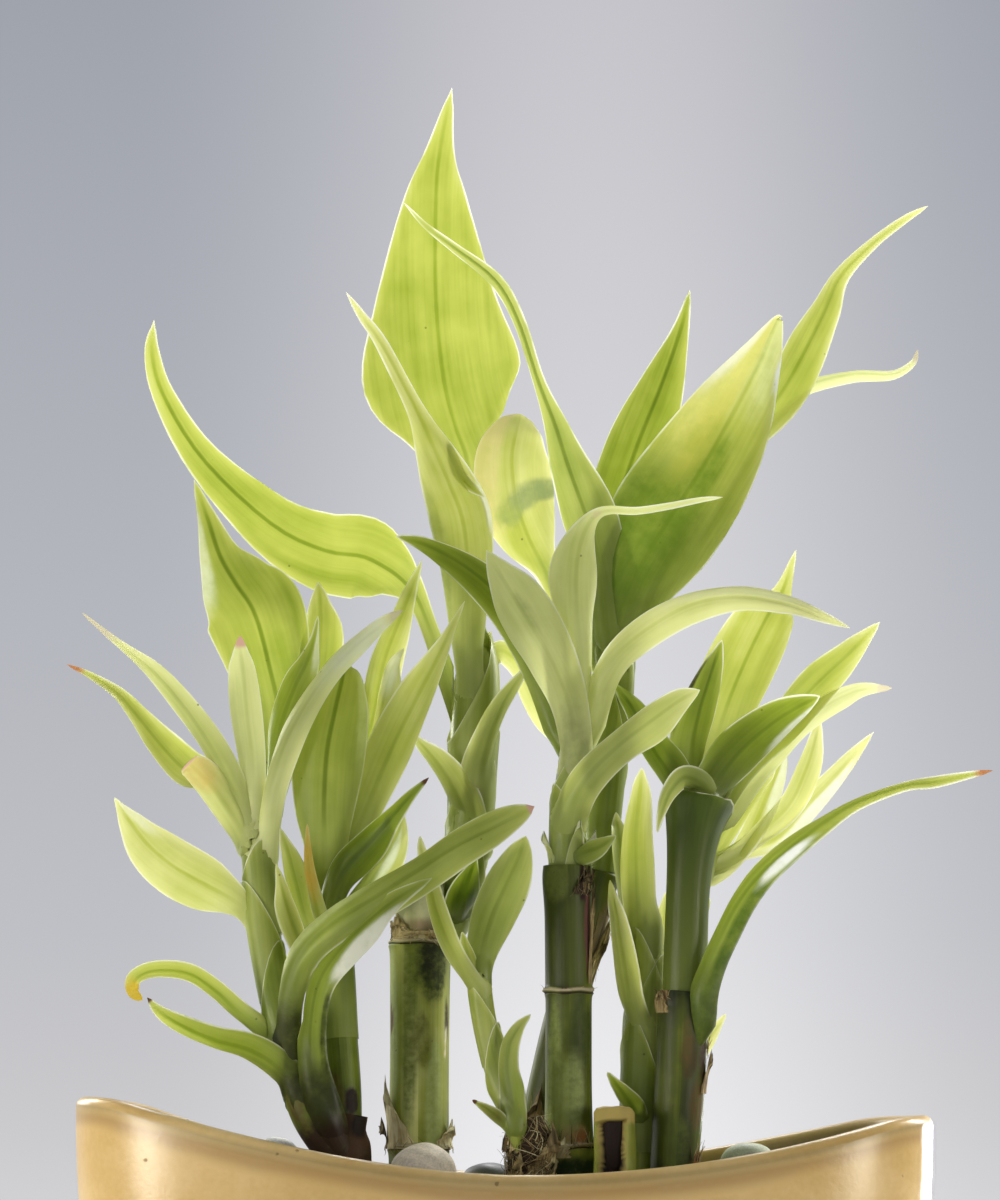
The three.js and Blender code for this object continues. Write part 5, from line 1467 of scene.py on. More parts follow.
# The near-white marks on leaves 1 and 6 (counted from 0) are painted highlights.
B_LEAVES = [
    Leaf([(-7, 128, 14, 6), (-7, 150, 17, 8), (-7, 168, 20, 10), (-8, 184, 23, 14), (-11, 193, 24, 27),
        (-14, 205, 25, 42), (-16, 225, 25, 32), (-16, 250, 24, 17), (-15, 262, 23, 8), (-12, 278, 22, 1)],
        (0, 12), (0.45, 0.56), -0.15, midrib=0.5, margin=1),
    Leaf([(-7, 118, 11, 7), (-8.2, 130, 8, 7), (-8.2, 143, 6, 10.5), (-8.2, 155, 5, 13), (-8.4, 164, 4, 15),
        (-9.8, 172, 3, 16), (-13, 180, 3, 13.4), (-16.6, 188.5, 3, 9), (-21, 198, 3, 4.8),
        (-29.5, 214, 1, 3.4), (-34.5, 221, 1, 2.4), (-38.5, 227, 0, 0.6)], (10, -45), (0.55, 0.9), 0.25,
        margin=1, marks=(Mark(0.35, -0.85, 0.25, 0.35, "#8D9C3C", 0.5),
        Mark(0.45, 0.95, 0.08, 0.2, "#F6F8DC", 0.9))),
    Leaf([(-14, 190, 2, 1), (-13, 187.5, 1.2, 2.6), (-11, 182.6, 0.8, 3.4), (-7.5, 178.6, 1, 2.8),
        (-3.8, 175.7, 2, 0.6)], (20, 20), (0.55, 0.7), 0.5, spread=0, margin=1, clasp=25),
    Leaf([(-7.5, 112, 14, 7), (-10.5, 123, 15, 6.6), (-13.8, 132.5, 16, 6), (-17.6, 143, 17, 5),
        (-21, 151, 18, 6.5), (-25, 155.6, 19, 12), (-29, 158.4, 19.5, 18), (-34.5, 161, 20, 22),
        (-44, 162.5, 20, 20.5), (-57, 169, 20, 15.5), (-74, 185, 19, 9.5), (-84, 201, 18, 6),
        (-87, 212, 17, 4), (-86.5, 220, 17, 0.8)], (0, 20), (0.38, 0.58), -0.2, spread=0.5, midrib=0.9),
    Leaf([(-6, 92, 11, 9), (-4.9, 102, 8, 8.6), (-4.2, 109, 7, 7), (-2.4, 116, 6, 5.6), (-0.2, 122, 6, 4.6),
        (3.4, 128.4, 6, 3.4), (8, 134.6, 7, 0.6)], (-30, -55), (0.5, 0.6), 0.5, sage=0.4, margin=1,
        marks=(Mark(0.12, -0.3, 0.12, 0.6, "#8C6A3E", 0.35),)),
    Leaf([(-7, 82, 12, 8), (-8.6, 95, 9, 8.6), (-12.4, 104, 8, 7), (-17.6, 111.4, 8, 4.6),
        (-23, 117.4, 8, 0.6)], (30, 40), (0.5, 0.7), 0.5, sage=0.2, margin=1),
    Leaf([(-6, 124, 14, 5), (-4, 133, 17, 5), (0, 137.5, 19, 6), (5.5, 133.5, 20, 6.4),
        (9.6, 126.4, 21, 8.4), (12.6, 120.6, 21, 8), (15.4, 115, 21, 5), (17.6, 109, 21, 0.8)], (-20, -30),
        (0.5, 1), -0.3, margin=1, marks=(Mark(0.7, -0.5, 0.25, 0.6, "#F6F8DC", 0.8),)),
    Leaf([(-10, 68, 13, 6), (-9, 76, 7, 8), (-6, 86, 5, 0.8)], (-30, -40), (0, 0.1), 0.25),
]
C_STEMS = [
    [(16.8, 81, 0, 5.2), (17.2, 95, 0, 5.2), (18.5, 107, 0, 4.8), (19, 118, 0, 4), (19, 130, 0, 3)],
]
# The pale cream marks on leaves 0 and 3 (counted from 0) are painted highlights.
C_LEAVES = [
    Leaf([(18, 100, -3, 9), (19, 111, -6, 9.4), (17.2, 124, -8, 10), (12.8, 135, -9, 12.6),
        (7.6, 144, -9, 14), (3, 151.6, -9, 12), (-0.4, 157.4, -8, 6.6), (-3.4, 162.4, -8, 0.6)], (0, 25),
        (0.85, 0.95), 0.3, sage=0.7, margin=1, marks=(Mark(0, 0, 0.4, 1.4, "#5A6630", 0.4),
        Mark(0.5, -0.9, 0.25, 0.35, "#E2E8A8", 0.6), Mark(0.62, 0.1, 0.12, 0.25, "#8E9C58", 0.4))),
    Leaf([(18.5, 108, 0, 7), (12, 130, 0, 9), (4, 146, -1, 10), (-3, 154, -2, 9), (-11, 160, -3, 7),
        (-19, 164, -4, 4), (-26, 166, -4, 0.8)], (-20, -50), (0.2, 0.4), 0.3, margin=1),
    Leaf([(18.6, 106, -2, 7.5), (20, 122, -6, 7), (20.2, 137, -8, 7.4), (19.2, 146.7, -9, 10),
        (19, 155, -9, 12.4), (19.6, 161.7, -10, 10), (21.2, 167.3, -11, 5.8), (23.8, 171, -12, 3.2),
        (27.5, 172.4, -12, 2.2), (34, 172.2, -12, 2), (42, 173.4, -12, 1.8), (50, 175, -12, 1.4),
        (55.7, 175.7, -12, 0.6)], (-5, -30), (0.7, 0.9), 0.35, sage=0.7, margin=1,
        marks=(Mark(0.6, -0.1, 0.04, 0.6, "#DDC9A4", 0.5),)),
    Leaf([(19.5, 108, -1, 8), (23, 125, -6, 8), (28, 135, -9, 8), (37, 143, -12, 8.5), (48, 149, -15, 8),
        (60, 151, -18, 6), (72, 149, -20, 4.5), (80, 146, -21, 3), (87.5, 143, -22, 0.7)], (20, 50),
        (0.65, 1), 0.3, sage=0.45, margin=1, marks=(Mark(0.62, -0.6, 0.25, 0.6, "#EEF1B4", 0.75),)),
    Leaf([(15.5, 88, -3, 9), (17, 97, -7, 10), (22, 106, -10, 9), (30, 114, -12, 8), (38, 120, -14, 9),
        (45, 125, -15, 6), (50, 127.5, -15, 0.8)], (10, 40), (0.45, 0.7), 0.35, sage=0.45, margin=1),
    Leaf([(17, 86, -3, 6), (24, 88, -7, 5), (29, 91, -8, 0.8)], (20, 40), (0.3, 0.4), 0.4, sage=0.3),
]
D_STEMS = [
    [(24.9, 80, 14, 4.4), (26.5, 100, 14, 4.6), (28, 115, 14, 4.6), (30, 128, 13, 4.2), (31, 142, 12, 3)],
]
# The near-white marks at the margins of leaf 0 are painted highlights, and the three grey-green marks across
# leaf 2 are a painted shadow band (counted from 0).
D_LEAVES = [
    Leaf([(28, 122, 12, 7), (28.5, 140, 10, 13), (33, 154, 8, 23), (41, 168, 7, 29.5), (50, 182, 7, 28.5),
        (58.5, 197, 8, 22), (65, 209.5, 9, 12.5), (69.3, 219.5, 10, 3.5), (70, 220.5, 10, 0.8)], (0, -15),
        (0.1, 0.95), 0.2, margin=1, midrib=0.5, marks=(Mark(0.36, -0.3, 0.24, 1, "#668420", 0.6),
        Mark(0.72, -0.6, 0.25, 0.7, "#E4E17E", 0.7), Mark(0.78, -0.95, 0.16, 0.3, "#F6F6D4", 0.8),
        Mark(0.5, 0.1, 0.1, 0.3, "#6C8B20", 0.6), Mark(0.57, -0.3, 0.12, 0.3, "#D6D05A", 0.4),
        Mark(0.82, 0.4, 0.22, 0.6, "#E6ECA0", 0.6), Mark(0.74, 1.05, 0.05, 0.3, "#F6F7EE", 1))),
    Leaf([(29, 128, 15, 7), (28, 145, 19, 9), (28, 160, 22, 14), (30, 175, 24, 18), (34, 188, 25, 18),
        (40, 203, 26, 12), (45, 217, 26, 5), (47.5, 227.5, 26, 0.8)], (-10, -35), (0.25, 0.45), -0.25,
        midrib=0.8, margin=1),
    Leaf([(28, 124, 14, 5), (20, 142, 15, 5), (14, 151, 15, 5), (11, 158, 15, 7), (7, 166, 15, 15),
        (4, 175, 15, 20), (3, 185, 15, 19.5), (4, 192, 16, 14), (5, 196.5, 18, 5)], (0, 0), (0.5, 0.85),
        0.25, margin=1, marks=(Mark(0.78, -0.8, 0.3, 0.6, "#EADC98", 0.6),
        Mark(0.645, 0.65, 0.05, 0.8, "#94A365", 0.75), Mark(0.62, 0.15, 0.045, 0.5, "#94A365", 0.72),
        Mark(0.585, -0.25, 0.045, 0.42, "#97A65F", 0.65), Mark(0.2, 0.2, 0.3, 0.8, "#8FA04A", 0.5))),
    Leaf([(29, 126, 11, 8), (27, 142, 9, 10), (25.6, 155, 8, 13), (23.4, 165.5, 7, 14.8),
        (20.8, 173, 6, 14.2), (16.8, 184, 6, 10), (13.6, 194, 6, 6.2), (9.4, 205, 6, 3.4),
        (4.4, 220, 6, 3.2), (-1.4, 230, 6, 3.6), (-11.4, 238, 6, 2.6), (-18.6, 243.6, 6, 1.6),
        (-24, 249.3, 5, 0.6)], (0, 60), (0.3, 0.6), 0.2, sage=0.3, midrib=0.9, margin=1),
    Leaf([(30, 134, 13, 5), (35, 156, 16, 6), (46, 174, 19, 6), (58, 188, 21, 9), (69, 200, 22, 11),
        (75.5, 211, 22, 11.5), (81, 222, 22, 8), (85, 231, 22, 4.5), (93, 239, 21, 3), (101, 245, 21, 2.2),
        (107, 248.5, 21, 0.7)], (-10, -50), (0.45, 0.75), -0.2),
    Leaf([(30.5, 136, 14, 5), (40, 160, 22, 5), (56, 184, 27, 5), (68, 198, 29, 4.5), (76, 203.5, 29, 4),
        (88, 206.5, 29, 3.5), (98, 206.5, 29, 2.5), (103, 209, 29, 1.8), (104.5, 212.5, 29, 0.7)],
        (-40, -60), (0.5, 0.9), -0.3, sage=0.9, tip=Tip.STRAW),
]
SAPLING_STEMS = [
    [(4.6, 12, -14.5, 1.2), (4.1, 17, -14.5, 2.6), (3, 22.5, -13.5, 3.5), (1, 28, -12, 3.7),
     (-1.6, 35, -11, 3.4), (-3.8, 45, -11, 3.2), (-4.8, 54, -11, 3), (-4.9, 60, -11, 2.4)],
]
SAPLING_LEAVES = [
    Leaf([(-4.5, 50, -11, 5), (-5, 60, -12, 8), (-2, 71, -13, 11), (2, 80, -14, 11), (5, 87, -14, 6.5),
        (6.5, 91, -14, 0.8)], (0, 20), (0.3, 0.5), 0.3, sage=0.4),
    Leaf([(-3.5, 47, -11, 5), (-8, 55, -14, 5), (-13, 64, -16, 5), (-16, 72, -17, 5), (-18, 80, -17, 4),
        (-19.5, 87, -17, 2.5), (-20, 91, -17, 0.7)], (30, 55), (0.5, 0.8), 0.25),
    Leaf([(-5, 54, -12, 3.5), (-8, 61, -14, 4), (-9.5, 67, -14, 0.7)], (-20, -30), (0.5, 0.6), 0.25),
    Leaf([(4.6, 14, -15, 2.4), (3.6, 20, -16.5, 5.2), (2.6, 27, -17, 6), (1.7, 33, -16.5, 5.2),
        (2.3, 39, -16, 4.4), (4.6, 43.2, -16, 3), (7.7, 46.4, -16, 0.7)], (20, 40), (0.2, 0.5), 0.45,
        sage=0.3),
    Leaf([(3, 16.5, -15, 3), (-0.4, 20.4, -16.5, 3.4), (-3.6, 22.8, -17, 2.4), (-6.9, 25, -17, 0.6)],
        (15, 35), (0.3, 0.4), 0.4, sage=0.3, tip=Tip.BROWN, dried=0.12,
        marks=(Mark(0.55, 0, 0.4, 1.2, "#7A6A3A", 0.4),)),
]
E_STEMS = [
    [(45.2, 33, 0, 6), (46, 50, 0, 6), (46.4, 62, 0, 6), (47, 78, -0.5, 5.8), (48.2, 92, -1, 6),
     (49.6, 101, -1, 6.4)],
]
# The near-white marks on leaves 1 and 2 (counted from 0) are painted highlights.
E_LEAVES = [
    Leaf([(52, 100, -5, 6), (50, 104, -7.5, 6.5), (46, 105.5, -9, 5.5), (42.5, 102, -9.5, 4),
        (40.3, 96.5, -9, 2.2), (39.3, 91.8, -8.5, 0.7)], (20, 30), (0.3, 0.55), 0.2, sage=0.4, margin=1,
        clasp=50),
    Leaf([(50, 35, -4.6, 2), (49.7, 43, -6.8, 6.4), (49.3, 51, -8.4, 8.2), (52.2, 59.4, -8.2, 7),
        (55.6, 67, -8, 6.6), (59.6, 74.6, -9, 6.4), (65, 81.6, -10, 6.2), (72, 87.8, -11, 5.8),
        (80, 93.8, -12, 4.8), (89, 99.4, -13, 3.2), (101, 103.6, -15, 2.4), (109, 104.6, -16, 3),
        (117.6, 106.3, -17, 1.9), (123.2, 107.4, -17, 0.6)], (25, 50), (0.1, 0.6), 0.42, spread=0.5,
        sage=0.1, tip=Tip.ORANGE, dried=0.07, margin=1, marks=(Mark(0.3, 0.75, 0.4, 0.6, "#3F5A1E", 0.6),
        Mark(0, 0, 0.24, 2, "#46571F", 0.75), Mark(0.52, 0.45, 0.08, 0.4, "#F2F5EE", 0.9))),
    Leaf([(49, 92, -2, 9), (54, 104, -4, 11), (60, 112, -5, 12), (68, 119, -6, 10), (75, 123.5, -7, 6),
        (80, 126, -7, 0.8)], (-15, -35), (0.15, 0.4), 0.3, margin=1,
        marks=(Mark(0.7, 0.9, 0.25, 0.35, "#F0F3E6", 0.8),)),
    Leaf([(49, 94, 2, 9), (53, 111, 7, 14), (57, 124, 9, 17), (62, 136, 10, 18), (67, 146, 10, 14),
        (70.5, 152, 10, 5), (74, 162.5, 10, 0.7)], (10, 30), (0.5, 0.75), -0.25, midrib=0.6),
    Leaf([(48.5, 94, -1, 8), (48, 111, -2, 9.5), (50, 122, -3, 9), (53, 132, -4, 6), (55.5, 140, -4, 0.8)],
        (-30, -45), (0.3, 0.4), 0.3, midrib=0.6, margin=1,
        marks=(Mark(0.6, -0.9, 0.3, 0.18, "#3B3A14", 0.75),)),
    Leaf([(50, 94, 1, 7), (59, 107, 3, 8), (69, 118, 4, 9), (78.5, 128.5, 5, 10), (87.5, 137, 5, 6.6),
        (95, 144.5, 5, 0.8)], (-20, -40), (0.35, 0.7), -0.2),
    Leaf([(50, 92, 3, 6), (63, 108, 7, 7), (76, 120, 9, 6), (88, 127, 10, 4.5), (98, 128, 10, 0.8)],
        (-45, -60), (0.5, 0.9), -0.25, sage=0.9, tip=Tip.STRAW),
    Leaf([(48, 92, -3, 8), (43, 105, -4, 9), (38, 113, -4.5, 8), (33, 123, -5, 5), (28, 129.5, -5, 0.8)],
        (30, 45), (0.15, 0.3), 0.3),
]
F_STEMS = [
    [(35, -20, 9, 5.2), (35, 4, 9, 5.6), (35.2, 24, 9, 5.8), (36, 44, 9, 5.4), (37, 62, 8, 4.4),
     (38, 78, 7, 3)],
]
F_LEAVES = [
    Leaf([(36, 52, 7, 8), (34.5, 74, 5, 9), (34, 90, 4, 8), (35, 102, 4, 5), (35.5, 108, 4, 0.8)], (10, 30),
        (0.5, 0.8), 0.3),
    Leaf([(36, 52, 10, 7), (32, 76, 10, 7), (29.8, 90, 9, 5), (29, 97, 9, 0.7)], (-40, -50), (0.55, 0.8),
        -0.3),
    Leaf([(35, 38, 6, 7), (32.4, 50, 3, 6.5), (30.4, 62, 2, 6), (28.8, 72, 2, 4), (27.5, 80, 2, 0.6)],
        (30, 40), (0.5, 0.85), 0.25, margin=1),
    Leaf([(36.5, 40, 11, 7), (39, 56, 13, 8), (41, 68, 13, 6), (41.5, 77, 13, 0.8)], (-30, -40), (0.5, 0.7),
        0.25),
    Leaf([(35.4, 18.4, 4, 3.4), (33.6, 22.6, 2.2, 5), (30.4, 27, 0.5, 4), (26.8, 32, 0, 0.8)], (20, 35),
        (0.2, 0.35), 0.4),
]
G_STEMS = [
    [(45.5, -20, 19, 3.2), (45.5, 10, 19, 3.3), (46, 45, 19, 3.3), (47.5, 64, 18.5, 3.2), (50, 78, 18, 3),
     (52, 87, 17, 2.6)],
]
# The near-white marks on leaves 0 and 2 (counted from 0) are painted highlights.
G_LEAVES = [
    Leaf([(51, 82, 18, 5), (59, 87, 22, 5), (69, 90.5, 25, 5.4), (77.4, 99.4, 27, 6.2), (86, 108.6, 28, 4.6),
        (93.4, 117, 28, 0.6)], (-20, -35), (0.75, 1), -0.3, margin=1,
        marks=(Mark(0.6, 0.6, 0.3, 0.5, "#F4F7DE", 0.8),)),
    Leaf([(51.5, 84, 17, 5), (62, 90, 20, 5.4), (71.5, 98, 22, 6.6), (76.4, 107.6, 22, 6.8),
        (79, 116, 22, 3.6), (79.9, 121, 22, 0.6)], (-30, -45), (0.7, 0.95), -0.25, margin=1),
    Leaf([(50.5, 80, 17, 5), (57, 84, 19, 5), (62.4, 91.4, 20, 6), (66.6, 101, 20, 6.4), (70, 109, 20, 3.6),
        (71, 112.6, 20, 0.6)], (15, 40), (0.7, 1), 0.25, margin=1,
        marks=(Mark(0.7, 0.6, 0.3, 0.5, "#F2F6D8", 0.7),)),
    Leaf([(50, 78, 17, 5), (54, 88, 16, 7), (60, 98, 16, 8), (66, 106, 16, 6), (69, 109, 16.5, 0.8)],
        (-40, -50), (0.5, 0.8), 0.25),
    Leaf([(46, 34, 18, 4), (51, 39, 15, 4.5), (56.5, 46.5, 14, 0.8)], (20, 30), (0.7, 0.9), 0.25),
]


def mouth(angle: float, foot: float, tall: float, tone: float, stem: int = 0) -> Sheath:
    """A closed green sheath with a slanting mouth, highest on the side that its leaf stands on."""
    return Sheath(angle, foot, tall, 178, 0.5, 0, 0, tone, 0, 0.75, stem)


CANES = [
    Cane("cane_left",
         Tube(CANE_LEFT, (0.15, 0.2),
          (Patch(0, 8, ALL_ROUND, 30, "#4A3420", 0.9), Patch(40, 19, 40, 4, "#1E140D", 1)), seed=3)),
    # On cane_b the pale upright bands at -62 and 32 degrees are painted sheen, and the two small near-white
    # patches beside the right-hand scar are painted glints.
    Cane("cane_b",
         Tube(CANE_B, (0.66, 0.66), (Patch(0, 3, ALL_ROUND, 9.3, "#2C3B17", 0.85),
          Patch(-10, 72, ALL_ROUND, 8, "#C9C99E", 0.85), Patch(0, 67, 70, 3.4, "#A98C72", 0.7),
          Patch(-62, 38, 22, 32, "#A6B368", 0.55), Patch(-18, 44, 22, 34, "#4F5F13", 0.5),
          Patch(32, 24, 26, 22, "#B5C27A", 0.55), Patch(28, 59, 40, 12, "#2C370C", 0.7),
          Patch(20, 60, 16, 6, "#1F2508", 0.8), Patch(6, 40, 24, 9, "#5F5F20", 0.5),
          Patch(-70, 45, 9, 4.5, "#5E3B24", 1), Patch(66, 44, 8, 8, "#3A2A1B", 0.8),
          Patch(60, 41, 5, 3, "#E4DEC6", 0.8), Patch(64, 37, 5, 2, "#D9CFAE", 0.9)), (64, 13), seed=4),
         (Sheath(-58, 12.8, 19, 56, 1.2, -14, 0.9, 0.78, 0.12), Sheath(62, 12.8, 8, 36, 1, 10, 0.7, 1, 0.4),
          Sheath(-48, 64.6, 7.5, 42, 0.5, -8, 0.5, 0.62, 0.6), Sheath(20, 64.6, 3, 70, 0.4, 0, 0.1, 0.7, 0.7),
          Sheath(-84, 12.8, 9, 20, 1.6, -10, 1, 0.3, 0.4)),
         ((65, 30, 4, 0, 90), (13.2, 26, 4.5, 0, 100), (65, 18, 3, 180, 90))),
    # On cane_c the pale patch on the left under the upper node ring is a painted highlight, and the dark
    # patch high on the right is painted shade.
    Cane("cane_c",
         Tube(CANE_C, (0.56, 0.28), (Patch(0, 3, ALL_ROUND, 9, "#20300F", 0.85),
          Patch(16, 16.4, 40, 3.6, "#B49A66", 0.7), Patch(30, 15.6, 22, 2.6, "#A5653C", 0.6),
          Patch(-42, 32, 32, 22, "#96A25C", 0.6), Patch(36, 42, 44, 12, "#33420F", 0.5),
          Patch(8, 27, 40, 11, "#93A05E", 0.6), Patch(58, 68, 16, 15, "#6A443E", 0.9),
          Patch(40, 79, 12, 6, "#2C1A14", 1), Patch(-30, 79, 40, 6, "#6F7836", 0.6)), (52.2, 13.5), seed=5),
         (Sheath(62, 54, 26, 9, 0.9, 2, 0.1, 0.42, 0.3), Sheath(38, 76, 8, 26, 1.4, 8, 0.5, 0.1, 0.6),
          Sheath(-62, 9.5, 7, 36, 1.3, 4, 0.5, 0.95, 0.15),
          Sheath(-34, 10.5, 5.5, 34, 0.9, 26, 0.7, 0.85, 0.35)),
         ((52.6, 8, 1.2, 0, 100), (14, 34, 5, -10, 70), (78, 34, 6, 42, 26), (13.8, 20, 4, 180, 90))),
    Cane("cane_d",
         Tube(CANE_D, (0.36, 0.34),
          (Patch(-40, 46, 12, 10, "#6B5A36", 0.6), Patch(60, 64, 50, 14, "#8B7C56", 0.8)), seed=6),
         (Sheath(-22, 12, 19, 58, 1.3, 8, 1, 0.22, 0.3), Sheath(30, 8, 14, 40, 1.2, 10, 0.9, 0.15, 0.4),
          Sheath(56, 50, 26, 26, 1.3, 6, 0.35, 0.55, 0.5), Sheath(30, 50, 12, 22, 0.9, 10, 0.8, 0.4, 0.4)),
         ((62, 30, 14, 56, 34), (73, 12, 5, 60, 20), (18, 26, 9, -15, 60))),
    Cane("cane_e",
         Tube(CANE_E, (0.36, 0.14), (Patch(0, 3, ALL_ROUND, 9, "#33371A", 0.5),
          Patch(-58, 50, 24, 4, "#8F7350", 0.9), Patch(16, 36, 26, 7, "#463A1C", 0.65),
          Patch(46, 24, 30, 8, "#5E4D28", 0.6), Patch(0, 14, 40, 9, "#5E6C30", 0.5),
          Patch(58, 36, 18, 8, "#3B2A1B", 0.7), Patch(66, 8, 24, 6, "#94602F", 0.8),
          Patch(10, 40, 16, 8, "#6A5A30", 0.4)), seed=7),
         (Sheath(-60, 46.5, 6, 26, 0.5, 6, 0.5, 0.5, 0.4), Sheath(74, 27, 12, 24, 1, 4, 0.5, 0.4, 0.3)),
         ((50.5, 14, 3, -60, 26), (10, 18, 6, 60, 30), (38, 10, 5, 76, 12))),
]

SHOOTS = [
    # The dark brown patch round the left shoot's foot is partly the woody foot's own colour and partly
    # painted shade.
    Shoot("shoot_left", LEFT_STEMS, LEFT_LEAVES, (0.08, 0.5),
         (Patch(0, 10, ALL_ROUND, 12, "#3B2A1A", 0.9), Patch(30, 24, 30, 4, "#271B12", 0.95),
          Patch(-30, 26, 40, 8, "#5C4526", 0.5)),
         (mouth(60, 34, 30, 0.3), mouth(-60, 50, 30, 0.45), mouth(30, 66, 24, 0.5), mouth(60, 40, 30, 0.3, 2),
          mouth(-30, 58, 24, 0.4, 2)), seed=1),
    Shoot("shoot_b", B_STEMS, B_LEAVES, (0.3, 0.55),
         (Patch(38, 121, 9, 5, "#6B3F22", 0.9), Patch(4, 111, 16, 7, "#8A5A35", 0.7),
          Patch(60, 84, 16, 10, "#B98F76", 0.9)),
         (mouth(-60, 68, 36, 0.35), mouth(70, 84, 34, 0.4), mouth(105, 104, 40, 0.6)), seed=2, slim=1),
    Shoot("shoot_c", C_STEMS, C_LEAVES, (0.35, 0.55), (),
         (mouth(-70, 81.5, 22, 0.45), Sheath(30, 83, 15, 40, 2.2, -6, 1, 0.5),
          Sheath(52, 84, 9, 24, 3, 10, 0.9, 0.55, 0.2), Sheath(-62, 84, 8, 22, 1.8, -8, 0.3, 0.85, 0.3),
          mouth(60, 92, 26, 0.5)), seed=3),
    Shoot("shoot_d", D_STEMS, D_LEAVES, (0.3, 0.45), (), (mouth(60, 82, 34, 0.35), mouth(-60, 98, 32, 0.4)),
         seed=4),
    Shoot("sapling", SAPLING_STEMS, SAPLING_LEAVES, (0.4, 0.6), (),
         (mouth(60, 22, 22, 0.4), mouth(-60, 34, 20, 0.5)), seed=5),
    Shoot("shoot_e", E_STEMS, E_LEAVES, (0.05, 0.2), (),
         (Sheath(-20, 51, 53, 160, 3.4, 0, 0, -0.12, 0.04, 0.1, bloom=5),), seed=6),
    Shoot("shoot_f", F_STEMS, F_LEAVES, (0.4, 0.65), (),
         (mouth(-60, 12, 36, 0.4), mouth(60, 28, 34, 0.5), mouth(-60, 42, 26, 0.6)), seed=7),
    Shoot("shoot_g", G_STEMS, G_LEAVES, (0.5, 0.7), (), (mouth(-60, 26, 32, 0.5), mouth(60, 48, 28, 0.6)),
         seed=8),
]

@dataclass(frozen=True)
class Lamp:
    """A soft box."""

    name: str
    place: Row  # metres
    aim: Row  # the point that it faces, in metres
    size: Pair  # width and height, in metres
    watts: float
    colour: str = "#FFFFFF"
    spread: float = 180.0  # degrees of its beam

    def add(self) -> None:
        """Puts it in the scene, where it lights but doesn't show."""
        box = bpy.data.lights.new(self.name, "AREA")
        box.shape = "RECTANGLE"
        box.size, box.size_y = self.size
        box.energy = self.watts
        box.color = linear(self.colour)[:3]
        box.spread = math.radians(self.spread)
        stand = placed(self.name, box)
        stand.location = self.place
        toward = Vector(self.aim) - Vector(self.place)
        stand.rotation_euler = toward.to_track_quat("-Z", "Y").to_euler()
        stand.visible_camera = False


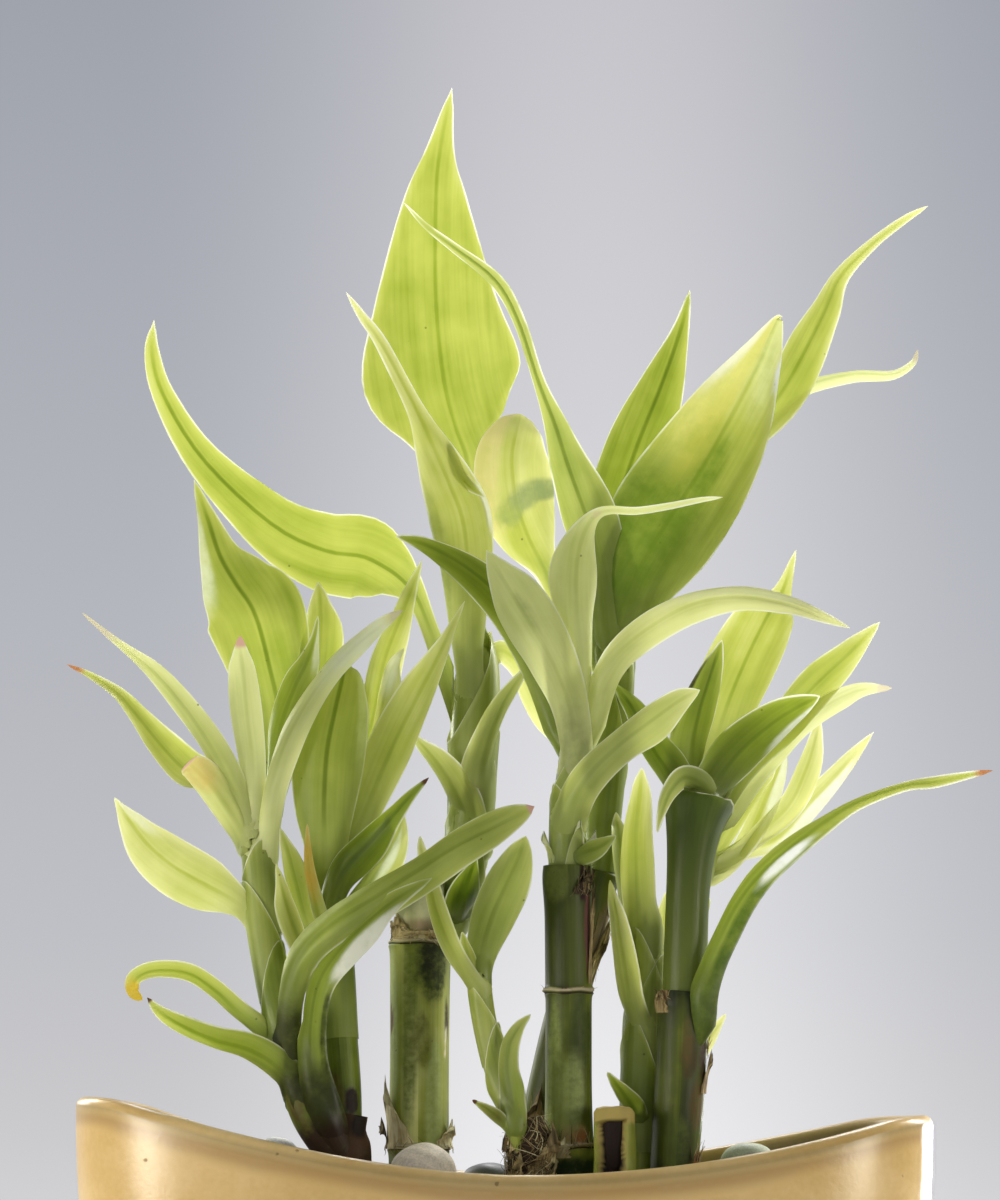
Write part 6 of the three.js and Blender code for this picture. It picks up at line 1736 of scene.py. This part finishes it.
@dataclass
class Studio:
    """A pale floor, a soft grey surround, soft boxes behind the plant and three small ones that give
    the pot its sheen, seen from the photograph's place."""

    floor_half: float = 3.8  # m
    sensor: float = 36.0  # mm
    heights: tuple[float, ...] = (0.0, 0.09, 0.25, 0.5, 1.0)  # of the surround's colours
    rise: Pair = (-0.03, 0.31)  # slopes of the lowest and highest
    side: Colours = ("#D5D4D6", "#CBCACD", "#BFC0C5", "#B5B7BE", "#9FA3AC")
    middle: Colours = ("#F2F2F3", "#EEEEF0", "#E3E3E6", "#D8D8DC", "#C5C4CA")
    glow: Pair = (0.026, 0.13)  # middle and half width of the paler column, as slopes
    front_level: float = 0.68  # how bright the surround is on the eye's side
    lamps: tuple[Lamp, ...] = (
        Lamp("window_left", (-0.75, 0.75, 0.55), (0, 0, 0.2), (0.3, 0.6), 7, "#FFFDF4"),
        Lamp("window_right", (0.85, 0.55, 0.6), (0, 0, 0.18), (0.16, 0.5), 10, "#FFFDF4"),
        Lamp("window_top", (0.1, 0.8, 1.1), (0, 0, 0.2), (0.6, 0.4), 8),
        Lamp("sheen_front", (-0.9, -0.8, 0.4), (0, 0, 0.15), (0.35, 1.2), 1.6),
        Lamp("pot_left", (-0.42, -0.26, 0.08), (-0.12, -0.04, 0.05), (0.1, 0.2), 0.09, "#FFF6E6", 40),
        Lamp("pot_right", (0.42, -0.26, 0.08), (0.12, -0.04, 0.05), (0.1, 0.2), 0.06, "#FFF6E6", 40),
        Lamp("pot_end", (0.42, 0.5, 0.05), (0.105, -0.01, 0.055), (0.04, 0.1), 0.06, "#FFFFFF", 10))

    def camera(self) -> None:
        """Places the camera."""
        lens = bpy.data.cameras.new("camera")
        lens.sensor_fit = "VERTICAL"
        lens.sensor_height = self.sensor
        lens.lens = self.sensor * EYE_DISTANCE / PHOTO_HEIGHT
        eye = placed("camera", lens)
        eye.location = EYE * MM
        eye.rotation_euler = (math.pi / 2 + SIGHT_TILT, 0, 0)
        bpy.context.scene.camera = eye

    def surround(self) -> None:
        """Makes the soft grey surround: darker high up, with a paler column behind the plant."""
        world = bpy.data.worlds.new("grey_surround")
        bpy.context.scene.world = world
        s = Sheet(world)
        x, y, z = s.add("SeparateXYZ", (s.add("TexCoord", out="Generated"),)).node.outputs
        level = s.add("MapRange", (z, *self.rise))
        side, middle = (s.add("ValToRGB", (level,), stops=(self.heights, colours))
                        for colours in (self.side, self.middle))
        off = s.add("Math ABSOLUTE", (s.add("Math SUBTRACT", (x, self.glow[0])),))
        column = s.add("MapRange", (off, 0, self.glow[1], 1, 0), **SOFT)
        behind = s.add("Math MULTIPLY", (column, s.add("MapRange", (y, 0.0, 0.5), **SOFT)))
        front = s.add("MapRange", (y, -0.4, 0.6, self.front_level, 1.0))
        s.finish(s.add("Background", (s.coat(side, (behind, middle)), front)))

    def build(self) -> None:
        """Makes the floor, the surround, the lamps and the camera."""
        self.camera()
        self.surround()
        half = self.floor_half
        corners = [(-half, -half, 0), (half, -half, 0), (half, half, 0), (-half, half, 0)]
        mesh = bpy.data.meshes.new("floor")
        mesh.from_pydata(corners, [], [(0, 1, 2, 3)])
        mesh.materials.append(StudioPaper().material())
        placed("floor", mesh)
        for lamp in self.lamps:
            lamp.add()


def main() -> None:
    """Builds the plant, its pot and the studio in order."""
    logging.basicConfig(level=logging.INFO, format="%(name)s %(message)s")
    bpy.context.scene.view_settings.view_transform = "Standard"
    Studio().build()
    tissue = LeafTissue().material()
    stem = GrowingStem().material()
    bark = GrowingStem("waxy_cane_skin", fibre_pitch=0.8, band_pitch=6.0, band=0.8, cloud=15.0, cloudy=0.546,
                       greens=("#1C2307", "#4D5715", "#929A3A", "#D6D88E"), roughness=0.5).material()
    dry = DriedFibre().material()
    stone = RiverStone().material()
    pot = Pot()
    pot.build(GlazedStoneware().material())
    PebbleBed(pot).build(stone)
    for cane in CANES:
        cane.build(bark, dry)
    crown = (Patch(0, 6, ALL_ROUND, 20, "#38291A", 1.0),)
    RootCrown(Tube(CROWN, (0.2, 0.3), crown, sides=32, seed=9)).build(bark, dry)
    CutStump(STUMP).build(bark)
    for shoot in SHOOTS:
        shoot.build_stems(stem)
        shoot.build_leaves(tissue)


if __name__ == "__main__":
    main()
